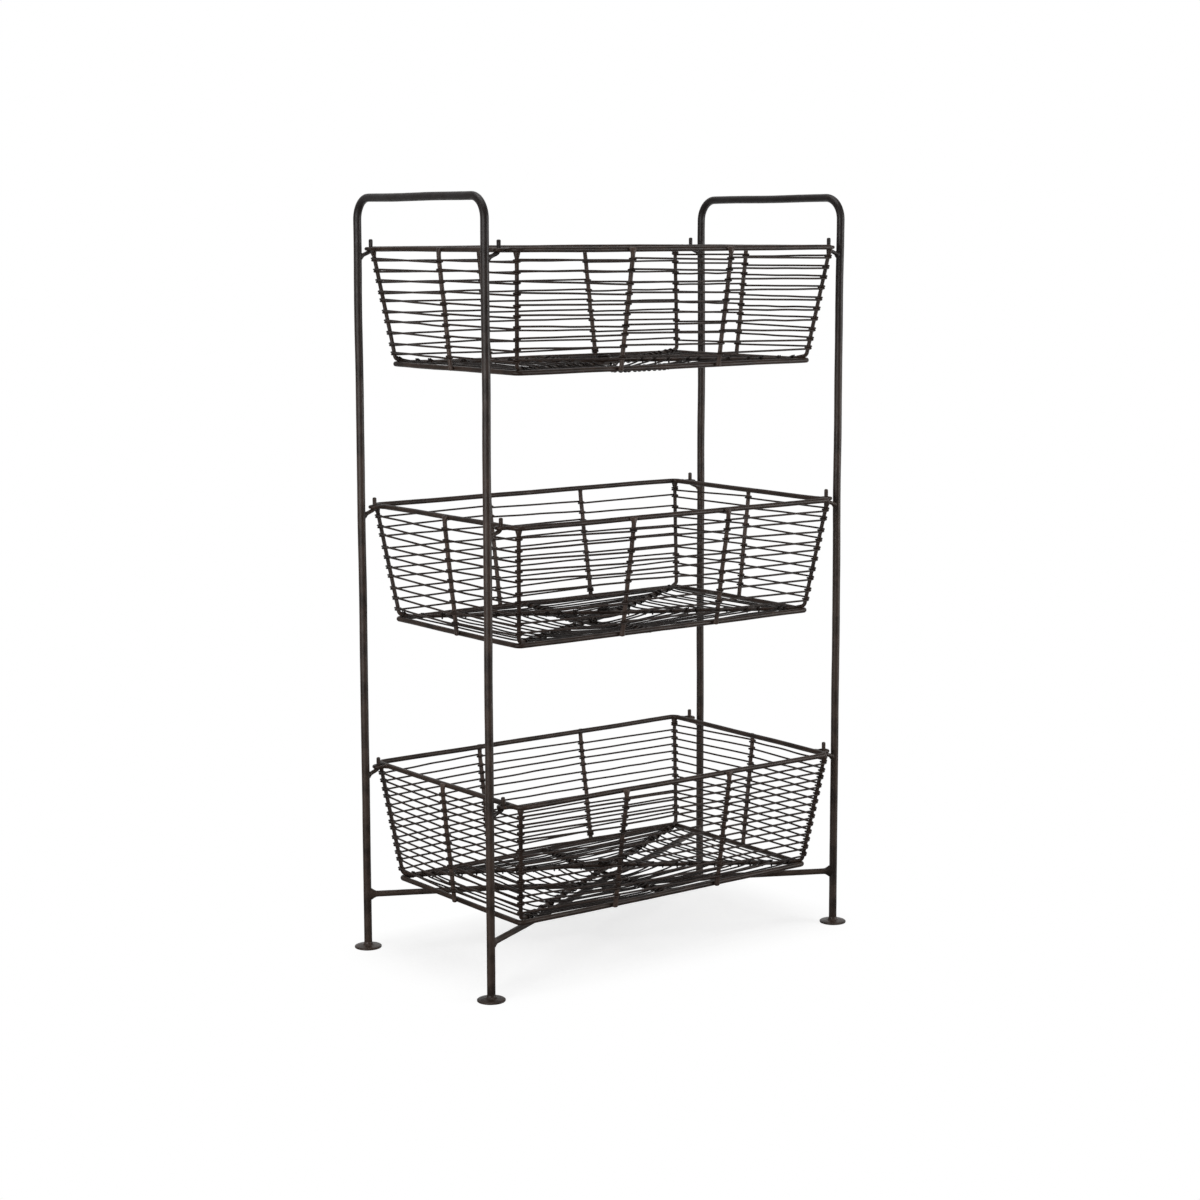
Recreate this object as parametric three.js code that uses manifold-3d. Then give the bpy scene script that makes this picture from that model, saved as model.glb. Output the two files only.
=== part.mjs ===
// Three-tier wire basket stand: two bent-bar end frames on disc feet, tied near the floor by
// a bolted cross of round rods. Hooks welded to the legs carry three lift-off baskets of rod
// and hand-wound wire. Millimetres, +X along the long side, +Y to the rear, +Z up; the origin
// is on the floor in the middle of the stand.

import * as THREE from 'three';
import { mergeVertices } from 'three/addons/utils/BufferGeometryUtils.js';
import Module from 'manifold-3d';

// Clearance between pieces that touch on the real stand
const GAP = 0.3;

// End frames and feet
const LEG_SPAN_X = 488.6;
const LEG_SPAN_Y = 247.2;
const BAR_D = 8.5;
const BAR_BEND_R = 24;
const HANDLE_RISE = 55.7;
const FOOT_D = 30.5;
const FOOT_EDGE = 2.2;
const FOOT_CROWN = 4.2;

// Cross brace
const BRACE_D = 6.2;
const BRACE_HEIGHT = 62.3;
const BOLT_D = 4;
const BOLT_HEAD_D = 8.5;
const BOLT_HEAD_H = 1.2;
const BOLT_NUT_D = 7.2;
const BOLT_NUT_H = 3.5;
const BOLT_TAIL = 4;
const BOLT_CLEARANCE = 0.3;

// Hooks and the basket loops that drop over them
const HOOK_D = 4.5;
const HOOK_BEND_R = 5.5;
const HOOK_ARM_DROP = THREE.MathUtils.degToRad(22);
const PIN_OFFSET = 17.1;
const PIN_RISE = 9.4;
const LOOP_D = 4;
const LOOP_PLAY = 0.75;
const LOOP_REACH = 9.8;

// Baskets: heights from the brace upwards, then the rods
const BASKET_OVER_BOLT = 0.3;
const BOTTOM_BASKET_DEPTH = 132;
const MIDDLE_BASKET_DEPTH = 128;
const TOP_BASKET_DEPTH = 127;
const LOWER_TIER_GAP = 168;
const UPPER_TIER_GAP = 159;
const RIM_OVERHANG_Y = 17.3;
const TAPER_X = 14.8;
const TAPER_Y = 21.9;
const RIM_ROD_D = 5.5;
const RIM_CORNER_R = 8;
const FLOOR_CORNER_R = 6;
const RIB_D = 4.5;
const RIB_BEND_R = 5;
const RIB_LEVEL = 2;
const RIB_DIP_LENGTH = 16;
const CROSSING_HALF = 13;
const BOTTOM_FLOOR_SAG = 0.5;
const UPPER_FLOOR_SAG = 4.5;
const CROSSBAR_DIP_HALF = 30;
const MIDDLE_CROSSBAR_X = -25;
const UPRIGHT_D = 4.5;
const UPRIGHT_PROUD = 2.2;

// Places of the uprights along their sides, measured from the middle. They are set by eye on the
// real baskets, so no two baskets are alike.
const BOTTOM_UPRIGHTS = {
  front_left: -79, front_right: 66, rear_left: -74, rear_right: 74, left: 0, right: -3,
};
const MIDDLE_UPRIGHTS = {
  front_left: -69, front_right: 63, rear_left: -57, rear_right: 75, left: -10, right: 7,
};
const TOP_UPRIGHTS = {
  front_left: -70, front_right: 65, rear_left: -69, rear_right: 83, left: -4, right: 14,
};

// Wound wire
const WIRE_D = 2.1;
const WIRE_BELOW_RIM = 6.7;
const WIRE_ABOVE_FLOOR = 5.7;
const BOTTOM_WIRE_ROUNDS = 13;
const UPPER_WIRE_ROUNDS = 10;
const RIGHT_SIDE_FALL = 0.25;
const FRONT_SIDE_FALL = 0.05;
const LEFT_SIDE_FALL = 0.1;
const BOTTOM_FLOOR_TURNS = 14;
const UPPER_FLOOR_TURNS = 12;
const FLOOR_WIRE_MARGIN = 10;
const FLOOR_WIRE_EYE = 10;
const FLOOR_WIRE_CORNER = 3;

// Facets
const BAR_SIDES = 10;
const ROD_SIDES = 8;
const SMALL_ROD_SIDES = 6;
const WIRE_SIDES = 5;
const BEND_STEPS = 5;
const CORNER_STEPS = 3;
const LOOP_STEPS = 6;
const FOOT_SEGMENTS = 20;

// Sizes that follow from the ones above
const legX = LEG_SPAN_X / 2;
const legY = LEG_SPAN_Y / 2;
const pinX = legX - PIN_OFFSET;
const loopR = HOOK_D / 2 + LOOP_PLAY + LOOP_D / 2;
const rimX = pinX - LOOP_REACH;
const rimY = legY + RIM_OVERHANG_Y;
const floorX = rimX - TAPER_X;
const floorY = rimY - TAPER_Y;
const ribRise = RIB_D + GAP;
const boltHeadZ = BRACE_HEIGHT + BRACE_D + GAP / 2 + GAP;
const bottomCrossbarZ = boltHeadZ + BOLT_HEAD_H + BASKET_OVER_BOLT + RIB_D / 2;
const bottomFloorZ = bottomCrossbarZ + ribRise + BOTTOM_FLOOR_SAG - RIB_LEVEL;
const bottomRimZ = bottomFloorZ + BOTTOM_BASKET_DEPTH;
const middleRimZ = bottomRimZ + LOWER_TIER_GAP + MIDDLE_BASKET_DEPTH;
const topRimZ = middleRimZ + UPPER_TIER_GAP + TOP_BASKET_DEPTH;
const handleZ = topRimZ + HANDLE_RISE;

const TIERS = [
  {
    name: 'bottom',
    rimZ: bottomRimZ,
    depth: BOTTOM_BASKET_DEPTH,
    sag: BOTTOM_FLOOR_SAG,
    crossbarX: 0,
    floorTurns: BOTTOM_FLOOR_TURNS,
    rounds: BOTTOM_WIRE_ROUNDS,
    uprights: BOTTOM_UPRIGHTS,
  },
  {
    name: 'middle',
    rimZ: middleRimZ,
    depth: MIDDLE_BASKET_DEPTH,
    sag: UPPER_FLOOR_SAG,
    crossbarX: MIDDLE_CROSSBAR_X,
    floorTurns: UPPER_FLOOR_TURNS,
    rounds: UPPER_WIRE_ROUNDS,
    uprights: MIDDLE_UPRIGHTS,
  },
  {
    name: 'top',
    rimZ: topRimZ,
    depth: TOP_BASKET_DEPTH,
    sag: UPPER_FLOOR_SAG,
    crossbarX: 0,
    floorTurns: UPPER_FLOOR_TURNS,
    rounds: UPPER_WIRE_ROUNDS,
    uprights: TOP_UPRIGHTS,
  },
];
const SIDES = [
  { name: 'left', x: -1 },
  { name: 'right', x: 1 },
];
const ENDS = [
  { name: 'front', y: -1 },
  { name: 'rear', y: 1 },
];

// Lacquered iron, a little warmer on the baskets than on the stand
const STAND_LOOK = { color: 0x2d2726, roughness: 0.45, metalness: 0.6 };
const BASKET_LOOK = { color: 0x382f2b, roughness: 0.5, metalness: 0.6 };
const WIRE_LOOK = { color: 0x2b2422, roughness: 0.55, metalness: 0.6 };

const wasm = await Module();
wasm.setup();

const at = (x, y, z) => new THREE.Vector3(x, y, z);

// Centre line of a rod: straight runs through the given points, one ring of facets at each
class RodPath extends THREE.Curve {
  constructor(points) {
    super();
    this.points = points;
  }

  getPoint(t, target = new THREE.Vector3()) {
    const last = this.points.length - 1;
    const place = Math.min(Math.max(t, 0), 1) * last;
    const index = Math.min(Math.floor(place), last - 1);
    return target.lerpVectors(this.points[index], this.points[index + 1], place - index);
  }

  getPointAt(u, target) {
    return this.getPoint(u, target);
  }

  getTangentAt(u, target = new THREE.Vector3()) {
    const last = this.points.length - 1;
    const index = Math.round(u * last);
    target.set(0, 0, 0);
    if (index > 0) {
      target.add(this.points[index].clone().sub(this.points[index - 1]).normalize());
    }
    if (index < last) {
      target.add(this.points[index + 1].clone().sub(this.points[index]).normalize());
    }
    return target.normalize();
  }
}

// Closed solid from any geometry: shared corners merged, faces pointing out
function closed(geometry) {
  const bare = geometry.index ? geometry.toNonIndexed() : geometry;
  bare.deleteAttribute('normal');
  bare.deleteAttribute('uv');
  const solid = mergeVertices(bare, 1e-4);
  if (signedVolume(solid) < 0) {
    const index = solid.index.array;
    for (let i = 0; i < index.length; i += 3) {
      [index[i + 1], index[i + 2]] = [index[i + 2], index[i + 1]];
    }
  }
  return solid;
}

function signedVolume(geometry) {
  const place = geometry.attributes.position;
  const index = geometry.index.array;
  const [a, b, c] = [at(0, 0, 0), at(0, 0, 0), at(0, 0, 0)];
  let volume = 0;
  for (let i = 0; i < index.length; i += 3) {
    a.fromBufferAttribute(place, index[i]);
    b.fromBufferAttribute(place, index[i + 1]);
    c.fromBufferAttribute(place, index[i + 2]);
    volume += a.dot(b.cross(c)) / 6;
  }
  return volume;
}

function circle(radius, sides) {
  const points = [];
  for (let i = 0; i < sides; i += 1) {
    const angle = (2 * Math.PI * i) / sides;
    points.push(new THREE.Vector2(radius * Math.cos(angle), radius * Math.sin(angle)));
  }
  return new THREE.Shape(points);
}

// Round rod along a list of points
function rod(points, diameter, sides) {
  const extrudePath = new RodPath(points);
  const settings = { steps: points.length - 1, extrudePath };
  return closed(new THREE.ExtrudeGeometry(circle(diameter / 2, sides), settings));
}

// Endless rod bent to a level rectangle with round corners, about the origin
function ringRod(halfX, halfY, cornerR, diameter, sides) {
  const radius = diameter / 2;
  const positions = [];
  const index = [];
  for (let corner = 0; corner < 4; corner += 1) {
    const signX = corner === 0 || corner === 3 ? 1 : -1;
    const signY = corner < 2 ? 1 : -1;
    for (let step = 0; step <= CORNER_STEPS; step += 1) {
      const angle = (Math.PI / 2) * (corner + step / CORNER_STEPS);
      for (let side = 0; side < sides; side += 1) {
        const turn = (2 * Math.PI * side) / sides;
        const reach = cornerR + radius * Math.cos(turn);
        positions.push(
          signX * (halfX - cornerR) + reach * Math.cos(angle),
          signY * (halfY - cornerR) + reach * Math.sin(angle),
          radius * Math.sin(turn),
        );
      }
    }
  }
  const rings = positions.length / 3 / sides;
  for (let ring = 0; ring < rings; ring += 1) {
    const next = (ring + 1) % rings;
    for (let side = 0; side < sides; side += 1) {
      const beside = (side + 1) % sides;
      const [a, b] = [ring * sides + side, next * sides + side];
      const [c, d] = [next * sides + beside, ring * sides + beside];
      index.push(a, b, c, a, c, d);
    }
  }
  const geometry = new THREE.BufferGeometry();
  geometry.setAttribute('position', new THREE.Float32BufferAttribute(positions, 3));
  geometry.setIndex(index);
  return closed(geometry);
}

// Points of a bend of the given radius where two straight runs meet
function bend(before, vertex, after, radius, steps) {
  const inward = before.clone().sub(vertex).normalize();
  const outward = after.clone().sub(vertex).normalize();
  const half = inward.angleTo(outward) / 2;
  const tangent = radius / Math.tan(half);
  const centreDirection = inward.clone().add(outward).normalize();
  const centre = vertex.clone().addScaledVector(centreDirection, radius / Math.sin(half));
  const first = vertex.clone().addScaledVector(inward, tangent).sub(centre);
  const axis = first.clone().cross(vertex.clone().addScaledVector(outward, tangent).sub(centre));
  axis.normalize();
  const points = [];
  for (let i = 0; i <= steps; i += 1) {
    const angle = ((Math.PI - 2 * half) * i) / steps;
    points.push(first.clone().applyAxisAngle(axis, angle).add(centre));
  }
  return points;
}

function toManifold(geometry) {
  return new wasm.Manifold(new wasm.Mesh({
    numProp: 3,
    vertProperties: new Float32Array(geometry.attributes.position.array),
    triVerts: new Uint32Array(geometry.index.array),
  }));
}

function fromManifold(manifold) {
  const mesh = manifold.getMesh();
  const geometry = new THREE.BufferGeometry();
  geometry.setAttribute('position', new THREE.BufferAttribute(mesh.vertProperties, 3));
  geometry.setIndex(new THREE.BufferAttribute(mesh.triVerts, 1));
  return geometry;
}

function join(first, others) {
  return fromManifold(others.reduce((whole, piece) => whole.add(toManifold(piece)), toManifold(first)));
}

function piece(name, geometry, look) {
  const mesh = new THREE.Mesh(geometry, new THREE.MeshStandardMaterial(look));
  mesh.name = name;
  return mesh;
}

// Least distance between the turns of a wound wire, from points along its centre line
function leastSelfGap(points, diameter) {
  const spacing = diameter;
  const apart = 10 * diameter;
  const samples = [];
  let along = 0;
  for (let i = 0; i < points.length - 1; i += 1) {
    const length = points[i].distanceTo(points[i + 1]);
    const count = Math.ceil(length / spacing);
    for (let k = 0; k < count; k += 1) {
      const place = points[i].clone().lerp(points[i + 1], k / count);
      samples.push({ place, along: along + (length * k) / count });
    }
    along += length;
  }
  let least = Infinity;
  for (let i = 0; i < samples.length; i += 1) {
    for (let k = i + 1; k < samples.length; k += 1) {
      if (samples[k].along - samples[i].along > apart) {
        least = Math.min(least, samples[i].place.distanceToSquared(samples[k].place));
      }
    }
  }
  return Math.sqrt(least) - diameter;
}

// Stand

// Two legs and the handle between them, one bar with two bends
function endFrame() {
  const foot = FOOT_CROWN + GAP;
  const [frontFoot, rearFoot] = [at(0, -legY, foot), at(0, legY, foot)];
  const [frontTop, rearTop] = [at(0, -legY, handleZ), at(0, legY, handleZ)];
  const points = [
    frontFoot,
    ...bend(frontFoot, frontTop, rearTop, BAR_BEND_R, BEND_STEPS),
    ...bend(frontTop, rearTop, rearFoot, BAR_BEND_R, BEND_STEPS),
    rearFoot,
  ];
  return rod(points, BAR_D, BAR_SIDES);
}

// Disc with a low crown, flat underneath
function foot() {
  const radius = FOOT_D / 2;
  const profile = [
    new THREE.Vector2(0, 0),
    new THREE.Vector2(radius, 0),
    new THREE.Vector2(radius, FOOT_EDGE),
    new THREE.Vector2(BAR_D / 2 + GAP, FOOT_CROWN),
    new THREE.Vector2(0, FOOT_CROWN),
  ];
  return closed(new THREE.LatheGeometry(profile, FOOT_SEGMENTS).rotateX(Math.PI / 2));
}

// Hook in its own frame: X from the leg's axis towards the basket, Z from the rim's level
function hook() {
  const radius = HOOK_D / 2;
  const turn = Math.PI / 2 - HOOK_ARM_DROP;
  const seat = radius + LOOP_D / 2 + GAP;
  const drop = seat - HOOK_BEND_R + Math.sin(HOOK_ARM_DROP) * (HOOK_BEND_R - loopR);
  const centre = at(PIN_OFFSET - HOOK_BEND_R, 0, -drop / Math.cos(HOOK_ARM_DROP));
  const points = [at(PIN_OFFSET, 0, PIN_RISE)];
  for (let i = 0; i <= BEND_STEPS; i += 1) {
    const angle = (turn * i) / BEND_STEPS;
    const across = HOOK_BEND_R * Math.cos(angle);
    points.push(at(centre.x + across, 0, centre.z - HOOK_BEND_R * Math.sin(angle)));
  }
  const bendEnd = points[points.length - 1];
  const armEndX = BAR_D / 2 + GAP + radius * Math.sin(HOOK_ARM_DROP);
  const armFall = (bendEnd.x - armEndX) * Math.tan(HOOK_ARM_DROP);
  points.push(at(armEndX, 0, bendEnd.z - armFall));
  return rod(points, HOOK_D, SMALL_ROD_SIDES);
}

// Brace rod from leg to leg, bowed up or down at the middle to pass its twin, and drilled there
function braceRod(signY, bow) {
  const along = at(legX, signY * legY, 0).normalize();
  const reach = Math.hypot(legX, legY) - BAR_D / 2 - GAP;
  const bowHalf = reach / 2;
  const points = [-reach, -bowHalf, -BRACE_D * 2, 0, BRACE_D * 2, bowHalf, reach].map((distance) => {
    const rise = bow * Math.max(0, 1 - Math.max(0, Math.abs(distance) - BRACE_D * 2) / bowHalf);
    return along.clone().multiplyScalar(distance).setZ(BRACE_HEIGHT + rise);
  });
  const drill = new THREE.CylinderGeometry(
    BOLT_D / 2 + BOLT_CLEARANCE,
    BOLT_D / 2 + BOLT_CLEARANCE,
    BRACE_D * 2,
    ROD_SIDES,
  );
  drill.rotateX(Math.PI / 2).translate(0, 0, BRACE_HEIGHT + bow);
  const bar = toManifold(rod(points, BRACE_D, ROD_SIDES));
  return fromManifold(bar.subtract(toManifold(closed(drill))));
}

// Bolt through the crossing, head on top, nut and tail hanging below
function braceBolt() {
  const shank = BOLT_D / 2;
  const top = boltHeadZ;
  const under = 2 * BRACE_HEIGHT - boltHeadZ;
  const profile = [
    new THREE.Vector2(0, under - BOLT_NUT_H - BOLT_TAIL),
    new THREE.Vector2(shank, under - BOLT_NUT_H - BOLT_TAIL + shank / 2),
    new THREE.Vector2(shank, under - BOLT_NUT_H),
    new THREE.Vector2(BOLT_NUT_D / 2, under - BOLT_NUT_H),
    new THREE.Vector2(BOLT_NUT_D / 2, under),
    new THREE.Vector2(shank, under),
    new THREE.Vector2(shank, top),
    new THREE.Vector2(BOLT_HEAD_D / 2, top),
    new THREE.Vector2(BOLT_HEAD_D / 4, top + BOLT_HEAD_H),
    new THREE.Vector2(0, top + BOLT_HEAD_H),
  ];
  return closed(new THREE.LatheGeometry(profile, ROD_SIDES).rotateX(Math.PI / 2));
}

function buildStand() {
  const stand = new THREE.Group();
  const footShape = foot();
  const hookShape = hook();
  for (const side of SIDES) {
    const frame = piece(`end_frame_${side.name}`, endFrame(), STAND_LOOK);
    frame.position.x = side.x * legX;
    stand.add(frame);
    for (const end of ENDS) {
      const disc = piece(`foot_${end.name}_${side.name}`, footShape.clone(), STAND_LOOK);
      disc.position.set(side.x * legX, end.y * legY, 0);
      stand.add(disc);
      for (const tier of TIERS) {
        const name = `hook_${tier.name}_${end.name}_${side.name}`;
        const holder = piece(name, hookShape.clone(), STAND_LOOK);
        holder.position.set(side.x * legX, end.y * legY, tier.rimZ);
        holder.rotation.z = side.x > 0 ? Math.PI : 0;
        stand.add(holder);
      }
    }
  }
  const bow = (BRACE_D + GAP) / 2;
  stand.add(piece('brace_rod_upper', braceRod(1, bow), STAND_LOOK));
  stand.add(piece('brace_rod_lower', braceRod(-1, -bow), STAND_LOOK));
  stand.add(piece('brace_bolt', braceBolt(), STAND_LOOK));
  return stand;
}

// Baskets, in a frame whose Z starts at the rim's level

// Rim with the four loops that drop over the hooks
function topRim() {
  const ring = ringRod(rimX, rimY, RIM_CORNER_R, RIM_ROD_D, ROD_SIDES);
  const loops = [];
  for (const side of SIDES) {
    for (const end of ENDS) {
      const points = [at(side.x * rimX, end.y * legY - loopR, 0)];
      for (let i = 0; i <= LOOP_STEPS; i += 1) {
        const angle = Math.PI * (i / LOOP_STEPS) - Math.PI / 2;
        const out = loopR * Math.cos(angle);
        points.push(at(side.x * (pinX + out), end.y * legY + loopR * Math.sin(angle), 0));
      }
      points.push(at(side.x * rimX, end.y * legY + loopR, 0));
      loops.push(rod(points, LOOP_D, SMALL_ROD_SIDES));
    }
  }
  return join(ring, loops);
}

// Distance that a rod laid outside the rim and the floor frame keeps from their axes
const uprightOffset = RIM_ROD_D / 2 + GAP + UPRIGHT_D / 2;

// Place, outwards from the basket's middle, of an upright's axis at height z under the rim
function uprightReach(rimHalf, taper, depth, z) {
  const lean = Math.atan2(taper, depth);
  return rimHalf + uprightOffset / Math.cos(lean) + z * Math.tan(lean);
}

function uprightAt(place, depth, z) {
  if (place.along === 'x') {
    return at(place.at, place.sign * uprightReach(rimY, TAPER_Y, depth, z), z);
  }
  return at(place.sign * uprightReach(rimX, TAPER_X, depth, z), place.at, z);
}

// The six uprights of a basket: two on each long side, one on each short side
function uprightPlaces({ uprights }) {
  const places = [];
  for (const side of SIDES) {
    for (const end of ENDS) {
      const name = `${end.name}_${side.name}`;
      places.push({ name, along: 'x', sign: end.y, at: uprights[name] });
    }
    places.push({ name: side.name, along: 'y', sign: side.x, at: uprights[side.name] });
  }
  return places;
}

function upright(place, depth) {
  const ends = [UPRIGHT_PROUD, -depth - UPRIGHT_PROUD];
  return rod(ends.map((z) => uprightAt(place, depth, z)), UPRIGHT_D, SMALL_ROD_SIDES);
}

// Floor rods, in heights from the floor frame's axis. Each rib comes down from a corner of the frame
// and sags a little to the crossing, where the upper rib passes over the lower one. The cross bar
// runs from rail to rail and dips under both ribs.
const cornerRise = (RIM_ROD_D + RIB_D) / 2 + GAP;

// Middle of a round corner, measured in from where the straight runs would meet
const cornerCut = (radius) => radius * (1 - Math.SQRT1_2);

// Ends of the corner post whose X and Y are positive
function postEnds(depth) {
  const top = at(rimX - cornerCut(RIM_CORNER_R), rimY - cornerCut(RIM_CORNER_R), 0);
  const floorCut = cornerCut(FLOOR_CORNER_R);
  const floor = at(floorX - floorCut, floorY - floorCut, cornerRise - depth);
  const lean = Math.atan2(Math.hypot(top.x - floor.x, top.y - floor.y), -floor.z);
  top.z = -(RIM_ROD_D / 2 + GAP + (RIB_D / 2) * Math.sin(lean));
  return { top, floor };
}

// Axis of a corner post at height z under the rim, for the corner with the given signs
function cornerPostAt(signX, signY, depth, z) {
  const { top, floor } = postEnds(depth);
  const place = top.clone().lerp(floor, (z - top.z) / (floor.z - top.z));
  return at(signX * place.x, signY * place.y, z);
}

// Height of a rib's axis on the floor at a distance from the middle. The lower rib has no rise there.
function ribHeight(distance, { depth, sag }, rise) {
  const { floor } = postEnds(depth);
  const dipEnd = Math.hypot(floor.x, floor.y) - RIB_DIP_LENGTH;
  const between = THREE.MathUtils.mapLinear;
  if (distance > dipEnd) {
    return between(distance, dipEnd, dipEnd + RIB_DIP_LENGTH, RIB_LEVEL, cornerRise);
  }
  const middle = RIB_LEVEL - sag + rise;
  return between(Math.max(distance, CROSSING_HALF), CROSSING_HALF, dipEnd, middle, RIB_LEVEL);
}

// Two corner posts and the floor diagonal between them, one rod with two bends
function cornerRib(signY, tier, rise) {
  const { top, floor } = postEnds(tier.depth);
  const reach = Math.hypot(floor.x, floor.y);
  const diagonalAt = (distance) => {
    const place = floor.clone().multiplyScalar(distance / reach);
    return place.setZ(ribHeight(distance, tier, rise) - tier.depth);
  };
  const dipEnd = diagonalAt(reach - RIB_DIP_LENGTH);
  const half = [
    diagonalAt(CROSSING_HALF),
    dipEnd,
    ...bend(dipEnd, floor, top, RIB_BEND_R, CORNER_STEPS),
    top,
  ];
  const farHalf = half.map((point) => at(point.x, signY * point.y, point.z));
  const nearHalf = farHalf.map((point) => at(-point.x, -point.y, point.z));
  return rod([...nearHalf.reverse(), ...farHalf], RIB_D, SMALL_ROD_SIDES);
}

function floorCrossbar({ depth, sag, crossbarX }) {
  const reach = floorY - RIM_ROD_D / 2 - GAP;
  const dip = RIB_LEVEL - sag - ribRise;
  const ends = [[-reach, 0], [-CROSSBAR_DIP_HALF, dip], [CROSSBAR_DIP_HALF, dip], [reach, 0]];
  return rod(ends.map(([y, z]) => at(crossbarX, y, z - depth)), RIB_D, SMALL_ROD_SIDES);
}

// Stations of one round of the side wire, in order from the rear right corner: three points about
// each corner post, one outside each upright. Each gives the wire's place at height z, and the share
// of one round's drop that the wire has made when it gets there. The rear side takes what is left.
function sideWireStations(tier) {
  const { depth } = tier;
  const uprights = uprightPlaces(tier);
  const clear = (UPRIGHT_D + WIRE_D) / 2 + GAP;
  const round = ((RIB_D + WIRE_D) / 2 + GAP) / Math.cos(Math.PI / 8);
  const quarter = Math.PI / 2;
  const corner = (signX, signY, arrival, fall) => [0, 1, 2].map((i) => {
    const angle = arrival - (i * quarter) / 2;
    const shift = at(round * Math.cos(angle), round * Math.sin(angle), 0);
    return { fall, placeAt: (z) => cornerPostAt(signX, signY, depth, z).add(shift) };
  });
  const past = (name, fall) => {
    const place = uprights.find((candidate) => candidate.name === name);
    const axis = place.along === 'x' ? 'y' : 'x';
    const placeAt = (z) => {
      const spot = uprightAt(place, depth, z);
      spot[axis] += place.sign * clear;
      return spot;
    };
    return { fall, placeAt };
  };
  const frontRight = RIGHT_SIDE_FALL;
  const frontLeft = frontRight + FRONT_SIDE_FALL;
  const rearLeft = frontLeft + LEFT_SIDE_FALL;
  const between = THREE.MathUtils.lerp;
  return [
    ...corner(1, 1, quarter, 0),
    past('right', between(0, frontRight, 1 / 2)),
    ...corner(1, -1, 0, frontRight),
    past('front_right', between(frontRight, frontLeft, 1 / 3)),
    past('front_left', between(frontRight, frontLeft, 2 / 3)),
    ...corner(-1, -1, -quarter, frontLeft),
    past('left', between(frontLeft, rearLeft, 1 / 2)),
    ...corner(-1, 1, -2 * quarter, rearLeft),
    past('rear_left', between(rearLeft, 1, 1 / 3)),
    past('rear_right', between(rearLeft, 1, 2 / 3)),
  ];
}

// One wire wound from under the rim down to the floor frame
function sideWirePoints(tier) {
  const { rounds, depth } = tier;
  const stations = sideWireStations(tier);
  const top = -RIM_ROD_D / 2 - WIRE_BELOW_RIM;
  const bottom = -depth + RIM_ROD_D / 2 + WIRE_ABOVE_FLOOR;
  const pitch = (top - bottom) / (rounds - 1 + stations[stations.length - 1].fall);
  const points = [];
  for (let turn = 0; turn < rounds; turn += 1) {
    for (const { fall, placeAt } of stations) {
      points.push(placeAt(top - pitch * (turn + fall)));
    }
  }
  return points;
}

// One wire wound over the ribs from the floor frame in to the middle
function floorWirePoints(tier) {
  const [outerX, outerY] = [floorX - FLOOR_WIRE_MARGIN, floorY - FLOOR_WIRE_MARGIN];
  const onRib = (RIB_D + WIRE_D) / 2 + GAP;
  const corners = [[-1, 1], [-1, -1], [1, -1], [1, 1]];
  const count = tier.floorTurns * corners.length;
  const plan = [];
  for (let i = 0; i < count; i += 1) {
    const [signX, signY] = corners[i % corners.length];
    const share = 1 - (1 - FLOOR_WIRE_EYE / outerY) * (i / (count - 1));
    const rise = signX === signY ? 0 : ribRise;
    const rib = ribHeight(share * Math.hypot(outerX, outerY), tier, rise);
    plan.push(at(signX * outerX * share, signY * outerY * share, rib + onRib - tier.depth));
  }
  const points = [plan[0]];
  for (let i = 1; i < count - 1; i += 1) {
    for (const beside of [plan[i - 1], plan[i + 1]]) {
      const inward = beside.clone().sub(plan[i]).setLength(FLOOR_WIRE_CORNER);
      points.push(plan[i].clone().add(inward));
    }
  }
  points.push(plan[count - 1]);
  return points;
}

function buildBasket(tier) {
  const basket = new THREE.Group();
  basket.position.z = tier.rimZ;
  const add = (name, geometry, look) => basket.add(piece(`${tier.name}_${name}`, geometry, look));
  add('rim', topRim(), BASKET_LOOK);
  const floorFrame = ringRod(floorX, floorY, FLOOR_CORNER_R, RIM_ROD_D, ROD_SIDES);
  add('floor_frame', floorFrame.translate(0, 0, -tier.depth), BASKET_LOOK);
  add('corner_rib_lower', cornerRib(1, tier, 0), BASKET_LOOK);
  add('corner_rib_upper', cornerRib(-1, tier, ribRise), BASKET_LOOK);
  add('floor_crossbar', floorCrossbar(tier), BASKET_LOOK);
  for (const place of uprightPlaces(tier)) {
    add(`upright_${place.name}`, upright(place, tier.depth), BASKET_LOOK);
  }
  const windings = { side_wire: sideWirePoints(tier), floor_wire: floorWirePoints(tier) };
  for (const [name, points] of Object.entries(windings)) {
    add(name, rod(points, WIRE_D, WIRE_SIDES), WIRE_LOOK);
    const gap = leastSelfGap(points, WIRE_D);
    console.log(`${tier.name}_${name}: least gap between turns ${gap.toFixed(2)} mm`);
  }
  return basket;
}

const object = new THREE.Group();
object.add(buildStand());
for (const tier of TIERS) {
  object.add(buildBasket(tier));
}

export default object;
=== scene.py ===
"""Iron stand with three lift-off wire baskets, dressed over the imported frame.

Every rod is swept along its own bent path with flared welds at its joints, and both windings of
each basket are one continuous wire that takes a full turn round every rod it meets. Lengths are
in metres, +X along the long side to the right, +Y to the rear, +Z up.
"""

import math
import random
from collections import namedtuple

import bpy
import numpy as np
from bpy.props import FloatProperty, FloatVectorProperty, IntProperty, PointerProperty
from mathutils import Matrix, Vector


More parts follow.
